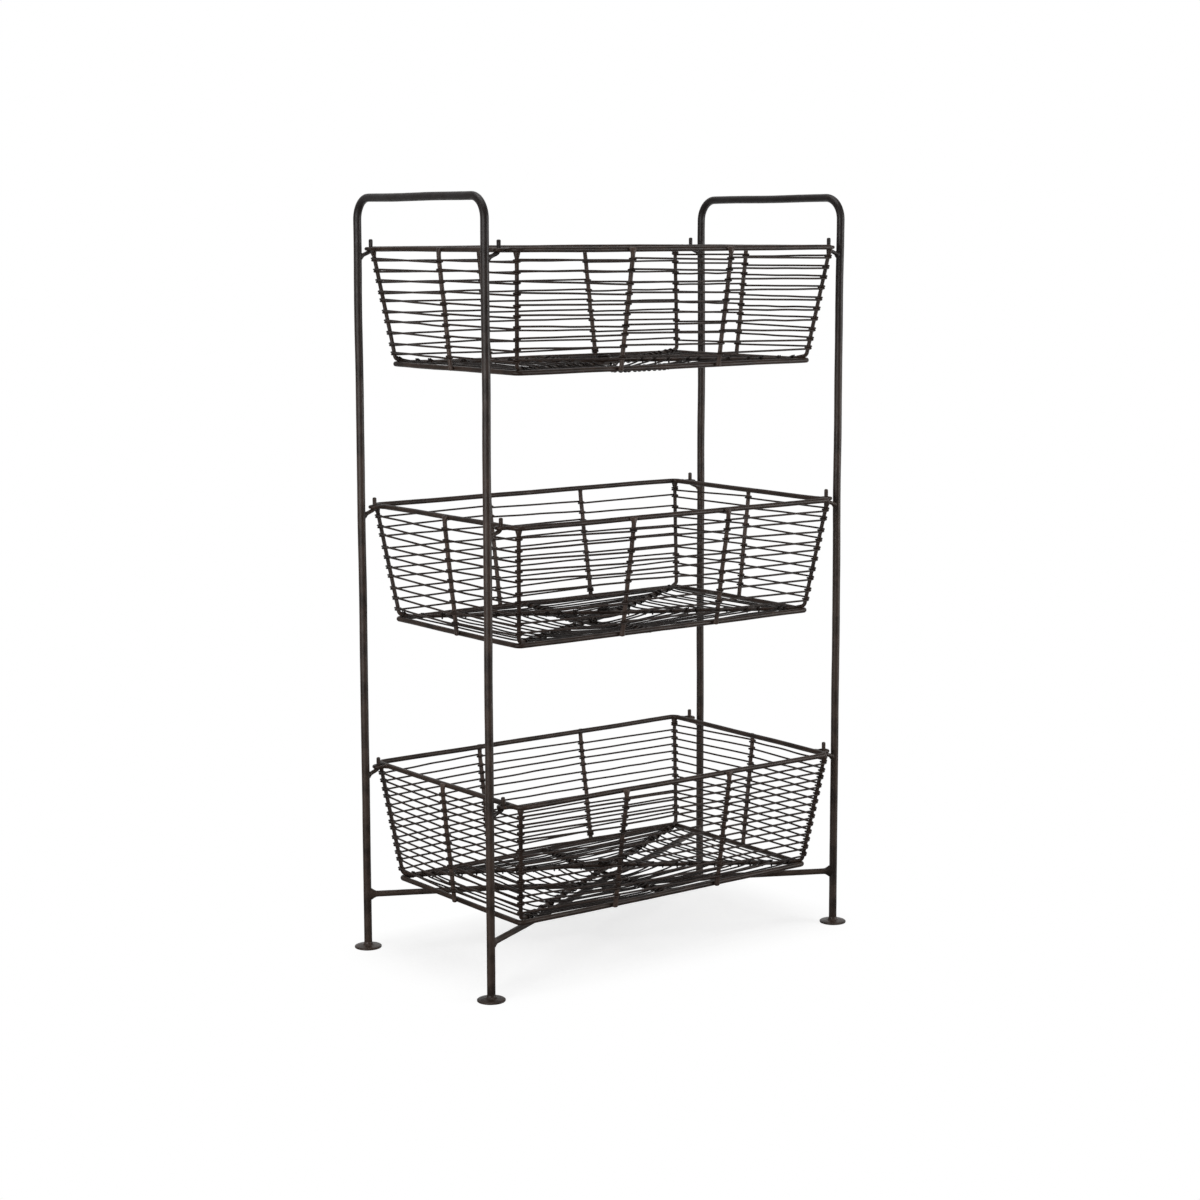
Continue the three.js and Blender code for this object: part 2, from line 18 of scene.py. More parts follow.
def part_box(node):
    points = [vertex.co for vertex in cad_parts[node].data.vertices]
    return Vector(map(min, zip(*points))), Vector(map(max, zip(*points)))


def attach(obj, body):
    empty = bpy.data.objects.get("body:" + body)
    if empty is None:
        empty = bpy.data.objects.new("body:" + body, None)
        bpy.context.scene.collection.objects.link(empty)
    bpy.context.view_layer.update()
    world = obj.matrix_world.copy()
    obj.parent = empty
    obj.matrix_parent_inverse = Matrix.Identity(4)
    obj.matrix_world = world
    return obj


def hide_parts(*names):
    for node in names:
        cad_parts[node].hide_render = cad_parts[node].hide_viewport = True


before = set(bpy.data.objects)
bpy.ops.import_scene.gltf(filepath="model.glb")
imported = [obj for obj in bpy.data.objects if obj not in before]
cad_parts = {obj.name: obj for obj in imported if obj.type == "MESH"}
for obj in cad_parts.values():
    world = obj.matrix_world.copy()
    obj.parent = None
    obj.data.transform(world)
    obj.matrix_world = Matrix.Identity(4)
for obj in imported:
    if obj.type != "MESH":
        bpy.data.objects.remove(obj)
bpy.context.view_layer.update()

bl_info = {
    "name": "Wire basket stand",
    "version": (1, 0, 0),
    "blender": (4, 5, 0),
    "location": "3D View > Sidebar > Basket stand",
    "description": "Builds a lacquered iron stand with three lift-off wire baskets",
    "category": "Add Mesh",
}

MM = 0.001
TIERS = ("bottom", "middle", "top")
SIDES = {"left": -1, "right": 1}
ENDS = {"front": -1, "rear": 1}
UPRIGHTS = ("front_left", "front_right", "rear_left", "rear_right", "left", "right")
UP = np.array((0.0, 0.0, 1.0))
QUARTER_TURN = math.pi / 2
FULL_TURN = 2 * math.pi


def length(name, description, default):
    """A size in metres that a user can change."""
    return FloatProperty(
        name=name, description=description, default=default, min=0.0, unit="LENGTH", precision=4
    )


def whole_number(name, description, default):
    """A number of rounds or turns that a user can change."""
    return IntProperty(name=name, description=description, default=default, min=1)


def colour(name, description, default):
    """A paint colour that a user can change."""
    return FloatVectorProperty(
        name=name, description=description, default=default, min=0.0, max=1.0, subtype="COLOR"
    )


class StandSizes(bpy.types.PropertyGroup):
    """Sizes of the end frames, feet, hooks and brace."""

    bar_diameter: length("Leg bar", "Diameter of the bent leg bar", 9.0 * MM)
    bar_bend_radius: length("Leg bend", "Radius of the bends at the handle", 24 * MM)
    brace_diameter: length("Brace rod", "Diameter of the two brace rods", 6.8 * MM)
    brace_weld: length("Brace fishtail", "Height of a brace rod's spread end on a leg", 15 * MM)
    brace_weld_reach: length("Fishtail length", "How far a brace rod's spread end runs", 6.5 * MM)
    hook_diameter: length("Hook rod", "Diameter of the hook rod", 4.5 * MM)
    hook_bend_radius: length("Hook bend", "Radius of the bend under the pin", 5.5 * MM)
    hook_arm_drop: FloatProperty(
        name="Hook arm drop", description="Fall of the hook's arm towards the leg",
        default=math.radians(22), subtype="ANGLE",
    )
    pin_offset: length("Pin offset", "From the leg's axis in to the hook's pin", 17.1 * MM)
    pin_rise: length("Pin rise", "How far the pin stands above the rim's axis", 9.4 * MM)
    foot_edge: length("Foot edge", "Thickness of a foot at its edge", 2.2 * MM)
    foot_crown: length("Foot crown", "Thickness of a foot round the leg", 3.2 * MM)
    bolt_diameter: length("Brace bolt", "Diameter of the bolt through the brace", 4 * MM)
    bolt_head: length("Bolt head", "Height of the bolt's low head", 1.2 * MM)
    bolt_tail: length("Bolt tail", "How far the bolt hangs below its nut", 4 * MM)
    nut_width: length("Brace nut", "Width of the nut across its corners", 7.2 * MM)
    nut_height: length("Nut height", "Height of the nut", 3.5 * MM)


class BasketSizes(bpy.types.PropertyGroup):
    """Sizes of the basket rods and windings."""

    rim_diameter: length("Rim rod", "Diameter of the rim and floor frame rod", 5.7 * MM)
    rim_corner_radius: length("Rim corner", "Radius of the rim's corners", 8 * MM)
    floor_corner_radius: length("Floor corner", "Radius of the floor frame's corners", 6 * MM)
    loop_diameter: length("Loop rod", "Diameter of the rod of the hanging loops", 4 * MM)
    loop_radius: length("Loop radius", "Radius of a hanging loop at its rod's axis", 5 * MM)
    loop_reach: length("Loop reach", "From the rim's axis out to the pin's axis", 9.8 * MM)
    rib_diameter: length("Rib rod", "Diameter of the corner ribs and the cross bar", 4.5 * MM)
    rib_bend_radius: length("Rib bend", "Radius of a rib's bend at the floor", 5 * MM)
    rib_level: length("Rib level", "Rise of the ribs over the floor frame near its corners", 2 * MM)
    rib_dip: length("Rib dip", "How far a rib runs from a corner to its level", 16 * MM)
    crossing: length("Crossing", "Half the flat stretch where one rib crosses the other", 13 * MM)
    bar_dip: length("Cross bar dip", "Half the low stretch of a cross bar under the ribs", 30 * MM)
    upright_diameter: length("Upright rod", "Diameter of the uprights", 4.9 * MM)
    upright_proud: length("Upright end", "From the floor frame's axis down to an upright's end", 0.8 * MM)
    wire_diameter: length("Side wire", "Diameter of the wire wound round the sides", 2.25 * MM)
    wire_bed: length("Wire bed", "How deep a turn lies in a rod's lacquer", 0.3 * MM)
    wire_bow: length("Side wire bow", "Usual bow of a run between two rods", 0.35 * MM)
    floor_wire_bow: length("Floor wire bow", "Usual bow of a run between two ribs", 1.6 * MM)
    floor_wire_diameter: length("Floor wire", "Diameter of the wire wound over the floors", 1.9 * MM)
    bottom_first_round: length("Bottom first round", "From the bottom rim to its wire", 7.4 * MM)
    upper_first_round: length("Upper first round", "From the upper rims to their wires", 8.0 * MM)
    last_round: length("Last round", "From the floor frame's axis up to the last round", 7.0 * MM)
    floor_margin: length("Floor margin", "From the floor frame in to the first floor turn", 6 * MM)
    floor_run_drop: length("Floor run drop", "From a rib's axis down to the wire between ribs", 0.6 * MM)
    floor_eye: length("Floor eye", "Half the opening inside the last floor turn", 10 * MM)
    eye_ring: length("Eye ring", "Radius of the ring that ends the floor wire", 6.5 * MM)
    bottom_rounds: whole_number("Bottom rounds", "Rounds of wire on the bottom basket", 13)
    upper_rounds: whole_number("Upper rounds", "Rounds of wire on the two upper baskets", 10)
    bottom_floor_turns: whole_number("Bottom floor turns", "Turns of wire on the bottom floor", 14)
    upper_floor_turns: whole_number("Upper floor turns", "Turns of wire on the upper floors", 12)


class IronFinish(bpy.types.PropertyGroup):
    """Colours of the lacquered iron and the studio floor."""

    lacquer_dark: colour("Dark lacquer", "Thick lacquer in the hollows", (0.014, 0.0091, 0.0070))
    lacquer_brown: colour("Brown lacquer", "Lacquer on the legs", (0.058, 0.039, 0.030))
    # Blue-black that the leg bars turn to by height towards the handles
    top_blue_black: colour("Blue-black lacquer", "Lacquer towards the handles", (0.020, 0.017, 0.0175))
    rubbed_iron: colour("Rubbed iron", "Iron showing where the lacquer is worn", (0.125, 0.090, 0.072))
    basket_brown: colour("Basket lacquer", "Lacquer on the basket rods", (0.044, 0.0280, 0.0212))
    rust: colour("Rust", "Brown showing on the basket rods", (0.150, 0.084, 0.050))
    upright_dark: colour("Dark upright", "Thick lacquer on the uprights", (0.034, 0.022, 0.018))
    upright_brown: colour("Brown upright", "Thin lacquer on the uprights", (0.088, 0.060, 0.048))
    wire_dark: colour("Dark wire", "Thick lacquer on the side wires", (0.013, 0.0083, 0.0065))
    wire_brown: colour("Brown wire", "Thin lacquer on the side wires", (0.040, 0.0258, 0.0200))
    # Floor wire lacquer, darker than the side wires' by painted shade under the baskets
    floor_wire_dark_painted_shade: colour("Dark floor wire", "Thick lacquer on the floor wires", (0.006, 0.0036, 0.0028))
    floor_wire_brown_painted_shade: colour("Brown floor wire", "Thin lacquer on the floor wires", (0.016, 0.0094, 0.007))
    floor_white: colour("Floor", "Studio floor", (0.86, 0.86, 0.86))


# Paths and skins


# How much hand work varies a rod's size and sways its path, each with its wavelength
Work = namedtuple("Work", "uneven uneven_length sway sway_length", defaults=(0.0, 1.0))

# Size of a rod where it is welded on, and how far along the rod the weld reaches
Weld = namedtuple("Weld", "width height reach")

ROUND_END = np.radians((22, 45, 68))
ROUND_END_DEPTH = 0.6
FLARE_CURVE = 1.3
SMOOTH_ANGLE = math.radians(50)


def unit(vector):
    return vector / np.linalg.norm(vector)


def bent(corners, radius, steps=10):
    """Path through corner points, with a round bend at each corner between the two ends."""
    corners = [np.array(corner, float) for corner in corners]
    path = [corners[0]]
    for before, corner, after in zip(corners, corners[1:], corners[2:]):
        back, ahead = unit(before - corner), unit(after - corner)
        half = math.acos(np.clip(back @ ahead, -1, 1)) / 2
        centre = corner + unit(back + ahead) * radius / math.sin(half)
        first = corner + back * radius / math.tan(half) - centre
        across = corner + ahead * radius / math.tan(half) - centre
        sweep_angle = math.pi - 2 * half
        for step in range(steps + 1):
            share = step / steps
            near = math.sin((1 - share) * sweep_angle) / math.sin(sweep_angle)
            far = math.sin(share * sweep_angle) / math.sin(sweep_angle)
            path.append(centre + near * first + far * across)
    path.append(corners[-1])
    return np.array(path)


def spaced(path, spacing):
    """The same path with extra points, so that none are further apart than the spacing."""
    points = [path[0]]
    for start, end in zip(path, path[1:]):
        pieces = max(1, math.ceil(np.linalg.norm(end - start) / spacing))
        points += [start + (end - start) * piece / pieces for piece in range(1, pieces + 1)]
    return np.array(points)


def along(path):
    """Distance of each point from the start of its path."""
    return np.concatenate(([0.0], np.cumsum(np.linalg.norm(np.diff(path, axis=0), axis=1))))


def ripple(places, wavelength, draw):
    """Smooth random values between about -1 and 1 at the given places along a rod."""
    value = np.zeros(len(places))
    for octave in (1, 2.3, 4.1):
        value += math.sqrt(1 / octave) * np.sin(
            FULL_TURN * octave * places / wavelength + draw.uniform(0, FULL_TURN)
        )
    return value / 2


def uneven(places, work, draw):
    """Factor on a rod's size along it, for the slight unevenness of worked iron."""
    return 1 + work.uneven * ripple(places, work.uneven_length, draw)


def hand_bent(path, work, draw):
    """Path with the slight sway that hand bending leaves, none at its ends."""
    places = along(path)
    hold = np.sin(math.pi * places / places[-1])
    moved = np.array(path)
    for axis in range(3):
        moved[:, axis] += work.sway * hold * ripple(places, work.sway_length, draw)
    return moved


def flare(places, size, weld, reach):
    """Rod size that widens from its own at a weld's reach to the weld's size at place 0."""
    return size + (weld - size) * np.clip(1 - np.abs(places) / reach, 0, 1) ** FLARE_CURVE


def welded(places, size, weld):
    """Width and height along a rod whose weld is full at place 0 and before."""
    places = np.maximum(places, 0)
    return flare(places, size, weld.width, weld.reach), flare(places, size, weld.height, weld.reach)


def round_ends(path, width, height):
    """Path and sizes with a few shrinking rings past each end, for a softly rounded cut."""
    shrink, lift = np.cos(ROUND_END), ROUND_END_DEPTH * np.sin(ROUND_END)
    start = unit(path[0] - path[1]) * min(width[0], height[0]) / 2
    end = unit(path[-1] - path[-2]) * min(width[-1], height[-1]) / 2
    before = path[0] + lift[::-1, None] * start
    after = path[-1] + lift[:, None] * end
    sizes = [
        np.concatenate((size[0] * shrink[::-1], size, size[-1] * shrink)) for size in (width, height)
    ]
    return np.vstack((before, path, after)), *sizes


def swept(path, width, height=None, up=UP, sides=12, closed=False):
    """Skin of a rod along a path. Height is its size towards up, width is its size across that."""
    path = np.asarray(path, float)
    width = np.broadcast_to(np.asarray(width, float), len(path))
    height = width if height is None else np.broadcast_to(np.asarray(height, float), len(path))
    if not closed:
        path, width, height = round_ends(path, width, height)
    steps = np.roll(path, -1, axis=0) - path if closed else np.diff(path, axis=0)
    steps = steps / np.linalg.norm(steps, axis=1)[:, None]
    if closed:
        tangents = steps + np.roll(steps, 1, axis=0)
    else:
        tangents = np.vstack((steps[:1], steps[1:] + steps[:-1], steps[-1:]))
    normal = np.array(up, float)
    rings = np.empty((len(path), sides, 3))
    turn = 2 * np.pi * np.arange(sides)[:, None] / sides
    for index, tangent in enumerate(tangents):
        tangent = unit(tangent)
        normal = unit(normal - tangent * (normal @ tangent))
        across = np.cross(tangent, normal)
        high, wide = height[index] / 2 * normal, width[index] / 2 * across
        rings[index] = path[index] + np.cos(turn) * high + np.sin(turn) * wide
    return skin(rings, closed, path[0], path[-1])


def skin(rings, closed, start, end):
    """Corners and faces over rows of points, with a fan at each end unless the rows close up."""
    count, sides = rings.shape[:2]
    corners = rings.reshape(-1, 3)
    faces = []
    for row in range(count if closed else count - 1):
        here, there = row * sides, (row + 1) % count * sides
        for side in range(sides):
            beside = (side + 1) % sides
            faces.append((here + side, here + beside, there + beside, there + side))
    if not closed:
        first, last = len(corners), len(corners) + 1
        corners = np.vstack((corners, start, end))
        row = (count - 1) * sides
        for side in range(sides):
            beside = (side + 1) % sides
            faces.append((first, beside, side))
            faces.append((last, row + side, row + beside))
    return corners, faces


def turned(profile, centre, sides, unevenness=0.0, draw=None):
    """Skin of a round piece from (radius, height) pairs, bottom to top, on an upright axis."""
    profile = np.array(profile, float)
    angle = 2 * np.pi * np.arange(sides) / sides
    rings = np.empty((len(profile), sides, 3))
    lobed = np.zeros(sides)
    if draw:
        for lobes in (2, 3, 5, 7):
            lobed += np.sin(lobes * angle + draw.uniform(0, FULL_TURN)) / lobes
    for row, (radius, height) in enumerate(profile):
        worked = radius * (1 + unevenness * lobed)
        rings[row, :, 0] = centre[0] + worked * np.cos(angle)
        rings[row, :, 1] = centre[1] + worked * np.sin(angle)
        rings[row, :, 2] = centre[2] + height
    bottom = (centre[0], centre[1], centre[2] + profile[0][1])
    top = (centre[0], centre[1], centre[2] + profile[-1][1])
    return skin(rings, False, bottom, top)


def make_piece(node, skins, material, body, sharp=SMOOTH_ANGLE):
    """One finished piece in place of a frame node, riding on the node's body."""
    corners, faces, first = [], [], 0
    for points, sides in skins:
        corners.append(points)
        faces += [tuple(first + index for index in face) for face in sides]
        first += len(points)
    mesh = bpy.data.meshes.new(f"iron_{node}")
    mesh.from_pydata(np.vstack(corners).tolist(), [], faces)
    mesh.shade_smooth()
    mesh.set_sharp_from_angle(angle=sharp)
    mesh.materials.append(material)
    piece = bpy.data.objects.new(f"iron_{node}", mesh)
    bpy.context.scene.collection.objects.link(piece)
    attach(piece, body)
    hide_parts(node)


# Places


def leg_place(end, side):
    """Plan position of a leg's axis, from its foot in the frame."""
    low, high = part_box(f"foot_{end}_{side}")
    return np.array(((low.x + high.x) / 2, (low.y + high.y) / 2))


def middle_height(node):
    low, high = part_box(node)
    return (low.z + high.z) / 2


class BasketPlan:
    """Places on one basket, worked out from its frame nodes and the basket sizes."""

    def __init__(self, tier, scene):
        self.tier = tier
        self.scene = scene
        self.sizes = sizes = scene.basket_sizes
        leg = np.abs(leg_place("front", "left"))
        rod = sizes.rim_diameter / 2
        self.leg_y = leg[1]
        self.pin_x = leg[0] - scene.stand_sizes.pin_offset
        self.rim_z = middle_height(f"{tier}_rim")
        self.floor_z = middle_height(f"{tier}_floor_frame")
        self.rim = np.array((self.pin_x - sizes.loop_reach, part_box(f"{tier}_rim")[1].y - rod))
        floor_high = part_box(f"{tier}_floor_frame")[1]
        self.floor = np.array((floor_high.x - rod, floor_high.y - rod))
        kind = "bottom" if tier == "bottom" else "upper"
        self.rounds = getattr(sizes, f"{kind}_rounds")
        self.first_round = getattr(sizes, f"{kind}_first_round")
        self.floor_turns = getattr(sizes, f"{kind}_floor_turns")
        cut = 1 - math.sqrt(0.5)
        self.post_top = np.append(self.rim - cut * sizes.rim_corner_radius, self.rim_z - rod)
        on_frame = self.floor_z + rod + sizes.rib_diameter / 2
        self.post_foot = np.append(self.floor - cut * sizes.floor_corner_radius, on_frame)
        bar_low, bar_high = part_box(f"{tier}_floor_crossbar")
        self.bar_x = (bar_low.x + bar_high.x) / 2
        self.bar_z = bar_low.z + sizes.rib_diameter / 2

    def draw(self, name):
        """Random draws for one piece of this basket, the same in each run."""
        return random.Random(f"{self.tier}_{name}")

    def add(self, name, skins, finish, slot="basket_iron"):
        """One finished piece of this basket in place of its frame node."""
        make_piece(f"{self.tier}_{name}", skins, finish(self.scene), f"{self.tier}_basket")

    def post(self, sign_x, sign_y, z):
        """Axis of a corner post at a height."""
        share = (z - self.post_top[2]) / (self.post_foot[2] - self.post_top[2])
        x, y = (self.post_top + (self.post_foot - self.post_top) * share)[:2]
        return np.array((sign_x * x, sign_y * y, z))

    def upright(self, name, z):
        """Axis of an upright at a height. It lies outside the rim and the floor frame."""
        axis = 0 if name in SIDES else 1
        fall = (self.rim[axis] - self.floor[axis]) / (self.rim_z - self.floor_z)
        offset = (self.sizes.rim_diameter + self.sizes.upright_diameter) / 2
        out = self.rim[axis] + offset * math.hypot(1, fall) - fall * (self.rim_z - z)
        low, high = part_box(f"{self.tier}_upright_{name}")
        if axis == 0:
            return np.array((SIDES[name] * out, (low.y + high.y) / 2, z))
        return np.array(((low.x + high.x) / 2, ENDS[name.split("_")[0]] * out, z))

    def rib_height(self, distance, crested):
        """Axis height of a floor diagonal at a distance from the middle."""
        sizes = self.sizes
        reach = math.hypot(*self.post_foot[:2])
        middle_z = self.bar_z + sizes.rib_diameter * (2 if crested else 1)
        return np.interp(
            distance,
            (sizes.crossing, reach - sizes.rib_dip, reach),
            (middle_z, self.floor_z + sizes.rib_level, self.post_foot[2]),
        )

    def bar_height(self, distance):
        """Axis height of the cross bar at a distance from the middle."""
        return np.interp(
            abs(distance), (self.sizes.bar_dip, self.floor[1]), (self.bar_z, self.floor_z)
        )


def basket_plans(context):
    return [BasketPlan(tier, context.scene) for tier in TIERS]


# Finishes


# Blotches in the lacquer: features per metre, the noise values that count as none and full, and
# what those two give
Blotch = namedtuple("Blotch", "scale detail roughness none full weakest strongest")

POOLED = Blotch(42.0, 4.0, 0.55, 0.44, 0.66, weakest=0.0, strongest=0.8)
WORN = Blotch(260.0, 5.0, 0.65, 0.60, 0.76, weakest=0.0, strongest=0.45)
SHEEN = Blotch(120.0, 3.0, 0.55, 0.3, 0.7, weakest=0.34, strongest=0.50)
GRAIN_SCALE = 850.0
GRAIN_DEPTH = 0.4 * MM
GRAIN_STRENGTH = 0.35
BLUE_FROM = 0.55
BLUE_FULL = 0.86
LEG_GLOSS = 0.32
ROD_GLOSS = 0.26
WIRE_GLOSS = 0.2


def add_node(tree, kind, inputs=None, **settings):
    """A shader node with its settings, and its inputs given as values or as sockets to link."""
    node = tree.nodes.new(kind)
    for name, value in settings.items():
        setattr(node, name, value)
    for name, value in (inputs or {}).items():
        if isinstance(value, bpy.types.NodeSocket):
            tree.links.new(value, node.inputs[name])
        else:
            node.inputs[name].default_value = value
    return node


def noise(tree, place, scale, detail, roughness):
    """Noise value at a scale in features per metre."""
    node = add_node(
        tree, "ShaderNodeTexNoise",
        {"Vector": place, "Scale": scale, "Detail": detail, "Roughness": roughness},
    )
    return node.outputs["Fac"]


def ranged(tree, value, low, high, to_low=0.0, to_high=1.0):
    """Value stretched from one range to another and held inside it."""
    node = add_node(
        tree, "ShaderNodeMapRange",
        {"Value": value, "From Min": low, "From Max": high, "To Min": to_low, "To Max": to_high},
    )
    return node.outputs["Result"]


def blotched(tree, place, blotch):
    spots = noise(tree, place, blotch.scale, blotch.detail, blotch.roughness)
    return ranged(tree, spots, blotch.none, blotch.full, blotch.weakest, blotch.strongest)


def mixed(tree, share, first, second):
    """Colour between two colours, each a value or a socket."""
    node = add_node(tree, "ShaderNodeMix", data_type="RGBA")
    for name, value in (("Factor_Float", share), ("A_Color", first), ("B_Color", second)):
        socket = next(item for item in node.inputs if item.identifier == name)
        if isinstance(value, bpy.types.NodeSocket):
            tree.links.new(value, socket)
        else:
            socket.default_value = (*value, 1.0)
    return next(item for item in node.outputs if item.identifier == "Result_Color")


def lacquered_iron(name, gloss, dark, brown, rubbed, top=None):
    """Mottled lacquer on hand-worked iron: pooled dark, thin brown and rubbed spots."""
    material = bpy.data.materials.get(name)
    if material:
        return material
    material = bpy.data.materials.new(name)
    material.use_nodes = True
    tree = material.node_tree
    shader = tree.nodes["Principled BSDF"]
    place = add_node(tree, "ShaderNodeTexCoord").outputs["Object"]
    base = brown[:]
    # With a top colour, the bar turns from its base colour to it by height, from BLUE_FROM to BLUE_FULL
    if top:
        height = add_node(tree, "ShaderNodeSeparateXYZ", {"Vector": place}).outputs["Z"]
        base = mixed(tree, ranged(tree, height, BLUE_FROM, BLUE_FULL), base, top[:])
    paint = mixed(tree, blotched(tree, place, POOLED), base, dark[:])
    paint = mixed(tree, blotched(tree, place, WORN), paint, rubbed[:])
    tree.links.new(paint, shader.inputs["Base Color"])
    tree.links.new(blotched(tree, place, SHEEN), shader.inputs["Roughness"])
    shader.inputs["Metallic"].default_value = 0.0
    shader.inputs["Specular IOR Level"].default_value = gloss
    grain = noise(tree, place, GRAIN_SCALE, detail=4.0, roughness=0.6)
    bump = add_node(
        tree, "ShaderNodeBump",
        {"Strength": GRAIN_STRENGTH, "Distance": GRAIN_DEPTH, "Height": grain},
    )
    tree.links.new(bump.outputs["Normal"], shader.inputs["Normal"])
    return material


def leg_finish(scene):
    iron = scene.iron_finish
    return lacquered_iron(
        "lacquered_leg_bar", LEG_GLOSS, iron.lacquer_dark, iron.lacquer_brown, iron.rubbed_iron,
        iron.top_blue_black,
    )


def basket_finish(scene):
    iron = scene.iron_finish
    return lacquered_iron(
        "lacquered_basket_rod", ROD_GLOSS, iron.lacquer_dark, iron.basket_brown, iron.rust
    )


def upright_finish(scene):
    iron = scene.iron_finish
    return lacquered_iron(
        "lacquered_upright", ROD_GLOSS, iron.upright_dark, iron.upright_brown, iron.rust
    )


def side_wire_finish(scene):
    iron = scene.iron_finish
    return lacquered_iron(
        "lacquered_side_wire", WIRE_GLOSS, iron.wire_dark, iron.wire_brown, iron.basket_brown
    )


# Floor wires take colours darker than the side wires', which paint in the shade under the baskets
def floor_wire_painted_shade_finish(scene):
    iron = scene.iron_finish
    return lacquered_iron(
        "painted_shade_floor_wire", WIRE_GLOSS, iron.floor_wire_dark_painted_shade, iron.floor_wire_brown_painted_shade, iron.basket_brown
    )


# Stand


# Weld widths, tapers and roots without a unit are in leg diameters. A weld is full up to its root
# from the leg's axis. Profiles are shares of a radius, each with a height or a share of one.
LEG_WORK = Work(uneven=0.012, uneven_length=0.07, sway=0.5 * MM, sway_length=0.5)
FOOT_EDGE = ((0.4, 0.0), (0.94, 0.0), (0.985, 0.12), (1.0, 0.3), (1.0, 0.75), (0.96, 1.0))
FOOT_CROWN_STEPS = 5
FOOT_WELD_STEPS = 4
FOOT_WELD_HEIGHT = 4 * MM
FOOT_WELD_WIDTH = 1.7
FOOT_WELD_TAPER = 0.72
FOOT_UNEVEN = 0.014
HOOK_WORK = Work(uneven=0.02, uneven_length=0.012)
HOOK_WELD = Weld(6.5 * MM, 9 * MM, reach=4 * MM)
HOOK_ROOT = 0.42
BRACE_WORK = Work(uneven=0.015, uneven_length=0.06)
BRACE_WELD_WIDTH = 0.95
BRACE_ROOT = 0.45
BRACE_POINTS = 220
BRACE_LEVEL = 0.03
BRACE_BOW = 0.5
BOLT_TIP = ((0.5, 0.0), (0.92, 0.6 * MM), (1.0, 1.4 * MM))
BOLT_DOME = ((0.97, 0.0), (1.0, 0.25), (0.9, 0.55), (0.68, 0.8), (0.36, 0.95), (0.1, 1.0))
BOLT_SMOOTH_ANGLE = math.radians(35)
NUT_FACE = 0.8
NUT_BEVEL = 0.4 * MM


def add_to_stand(scene, node, skins, sharp=SMOOTH_ANGLE):
    """One finished piece of the stand in place of its frame node."""
    make_piece(node, skins, leg_finish(scene), "stand", sharp)


class STAND_OT_end_frames(bpy.types.Operator):
    """Two legs and the handle between them, bent from one bar, on each side"""

    bl_idname = "basket_stand.end_frames"
    bl_label = "End frames"

    def execute(self, context):
        sizes = context.scene.stand_sizes
        for side in SIDES:
            node = f"end_frame_{side}"
            draw = random.Random(node)
            x, front = leg_place("front", side)
            rear = leg_place("rear", side)[1]
            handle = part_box(node)[1].z - sizes.bar_diameter / 2
            foot = sizes.foot_crown
            corners = ((x, front, foot), (x, front, handle), (x, rear, handle), (x, rear, foot))
            path = spaced(bent(corners, sizes.bar_bend_radius, steps=14), 10 * MM)
            path = hand_bent(path, LEG_WORK, draw)
            worked = sizes.bar_diameter * uneven(along(path), LEG_WORK, draw)
            skins = [swept(path, worked, up=(1, 0, 0), sides=20)]
            add_to_stand(context.scene, node, skins)
        return {"FINISHED"}


class STAND_OT_feet(bpy.types.Operator):
    """Low domed discs with a weld round each leg"""

    bl_idname = "basket_stand.feet"
    bl_label = "Feet"

    def execute(self, context):
        sizes = context.scene.stand_sizes
        for side in SIDES:
            for end in ENDS:
                node = f"foot_{end}_{side}"
                low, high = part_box(node)
                profile = self.profile(sizes, (high.x - low.x) / 2)
                centre = (*leg_place(end, side), 0.0)
                skins = [turned(profile, centre, 48, FOOT_UNEVEN, random.Random(node))]
                add_to_stand(context.scene, node, skins)
        return {"FINISHED"}

    def profile(self, sizes, radius):
        """Radii and heights of the disc's edge, its crown and the weld, from the floor up."""
        bar = sizes.bar_diameter / 2
        edge, crown = sizes.foot_edge, sizes.foot_crown
        disc = [(radius * out, edge * rise) for out, rise in FOOT_EDGE]
        brink = disc[-1][0]
        for step in range(1, FOOT_CROWN_STEPS + 1):
            share = step / FOOT_CROWN_STEPS
            reach = brink + (bar * FOOT_WELD_WIDTH - brink) * share
            disc.append((reach, edge + (crown - edge) * math.sin(share * QUARTER_TURN)))
        for step in range(1, FOOT_WELD_STEPS + 1):
            angle = step / FOOT_WELD_STEPS * QUARTER_TURN
            reach = bar * (FOOT_WELD_WIDTH - FOOT_WELD_TAPER * math.sin(angle))
            disc.append((reach, crown + FOOT_WELD_HEIGHT * (1 - math.cos(angle))))
        return disc


class STAND_OT_hooks(bpy.types.Operator):
    """Hooks whose arms leave the legs and turn up into the pins that the baskets hang on"""

    bl_idname = "basket_stand.hooks"
    bl_label = "Hooks"

    def execute(self, context):
        for tier in TIERS:
            rim_z = middle_height(f"{tier}_rim")
            for side, sign in SIDES.items():
                for end in ENDS:
                    node = f"hook_{tier}_{end}_{side}"
                    skins = [self.hook(context.scene, node, leg_place(end, side), sign, rim_z)]
                    add_to_stand(context.scene, node, skins)
        return {"FINISHED"}

    def hook(self, scene, node, leg, sign, rim_z):
        sizes = scene.stand_sizes
        radius = sizes.hook_diameter / 2
        drop = sizes.hook_arm_drop
        x, y = leg
        pin = x - sign * sizes.pin_offset
        arm_end = sizes.bar_diameter / 2 + radius * math.sin(drop)
        arm_end_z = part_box(node)[0].z + radius * math.cos(drop)
        root = arm_end_z - arm_end * math.tan(drop)
        knee = root + sizes.pin_offset * math.tan(drop)
        corners = ((x, y, root), (pin, y, knee), (pin, y, rim_z + sizes.pin_rise))
        path = spaced(bent(corners, sizes.hook_bend_radius), 1.5 * MM)
        places = along(path) - sizes.bar_diameter * HOOK_ROOT
        wide, tall = welded(places, sizes.hook_diameter, HOOK_WELD)
        worked = uneven(places, HOOK_WORK, random.Random(node))
        return swept(path, wide * worked, tall * worked, sides=14)


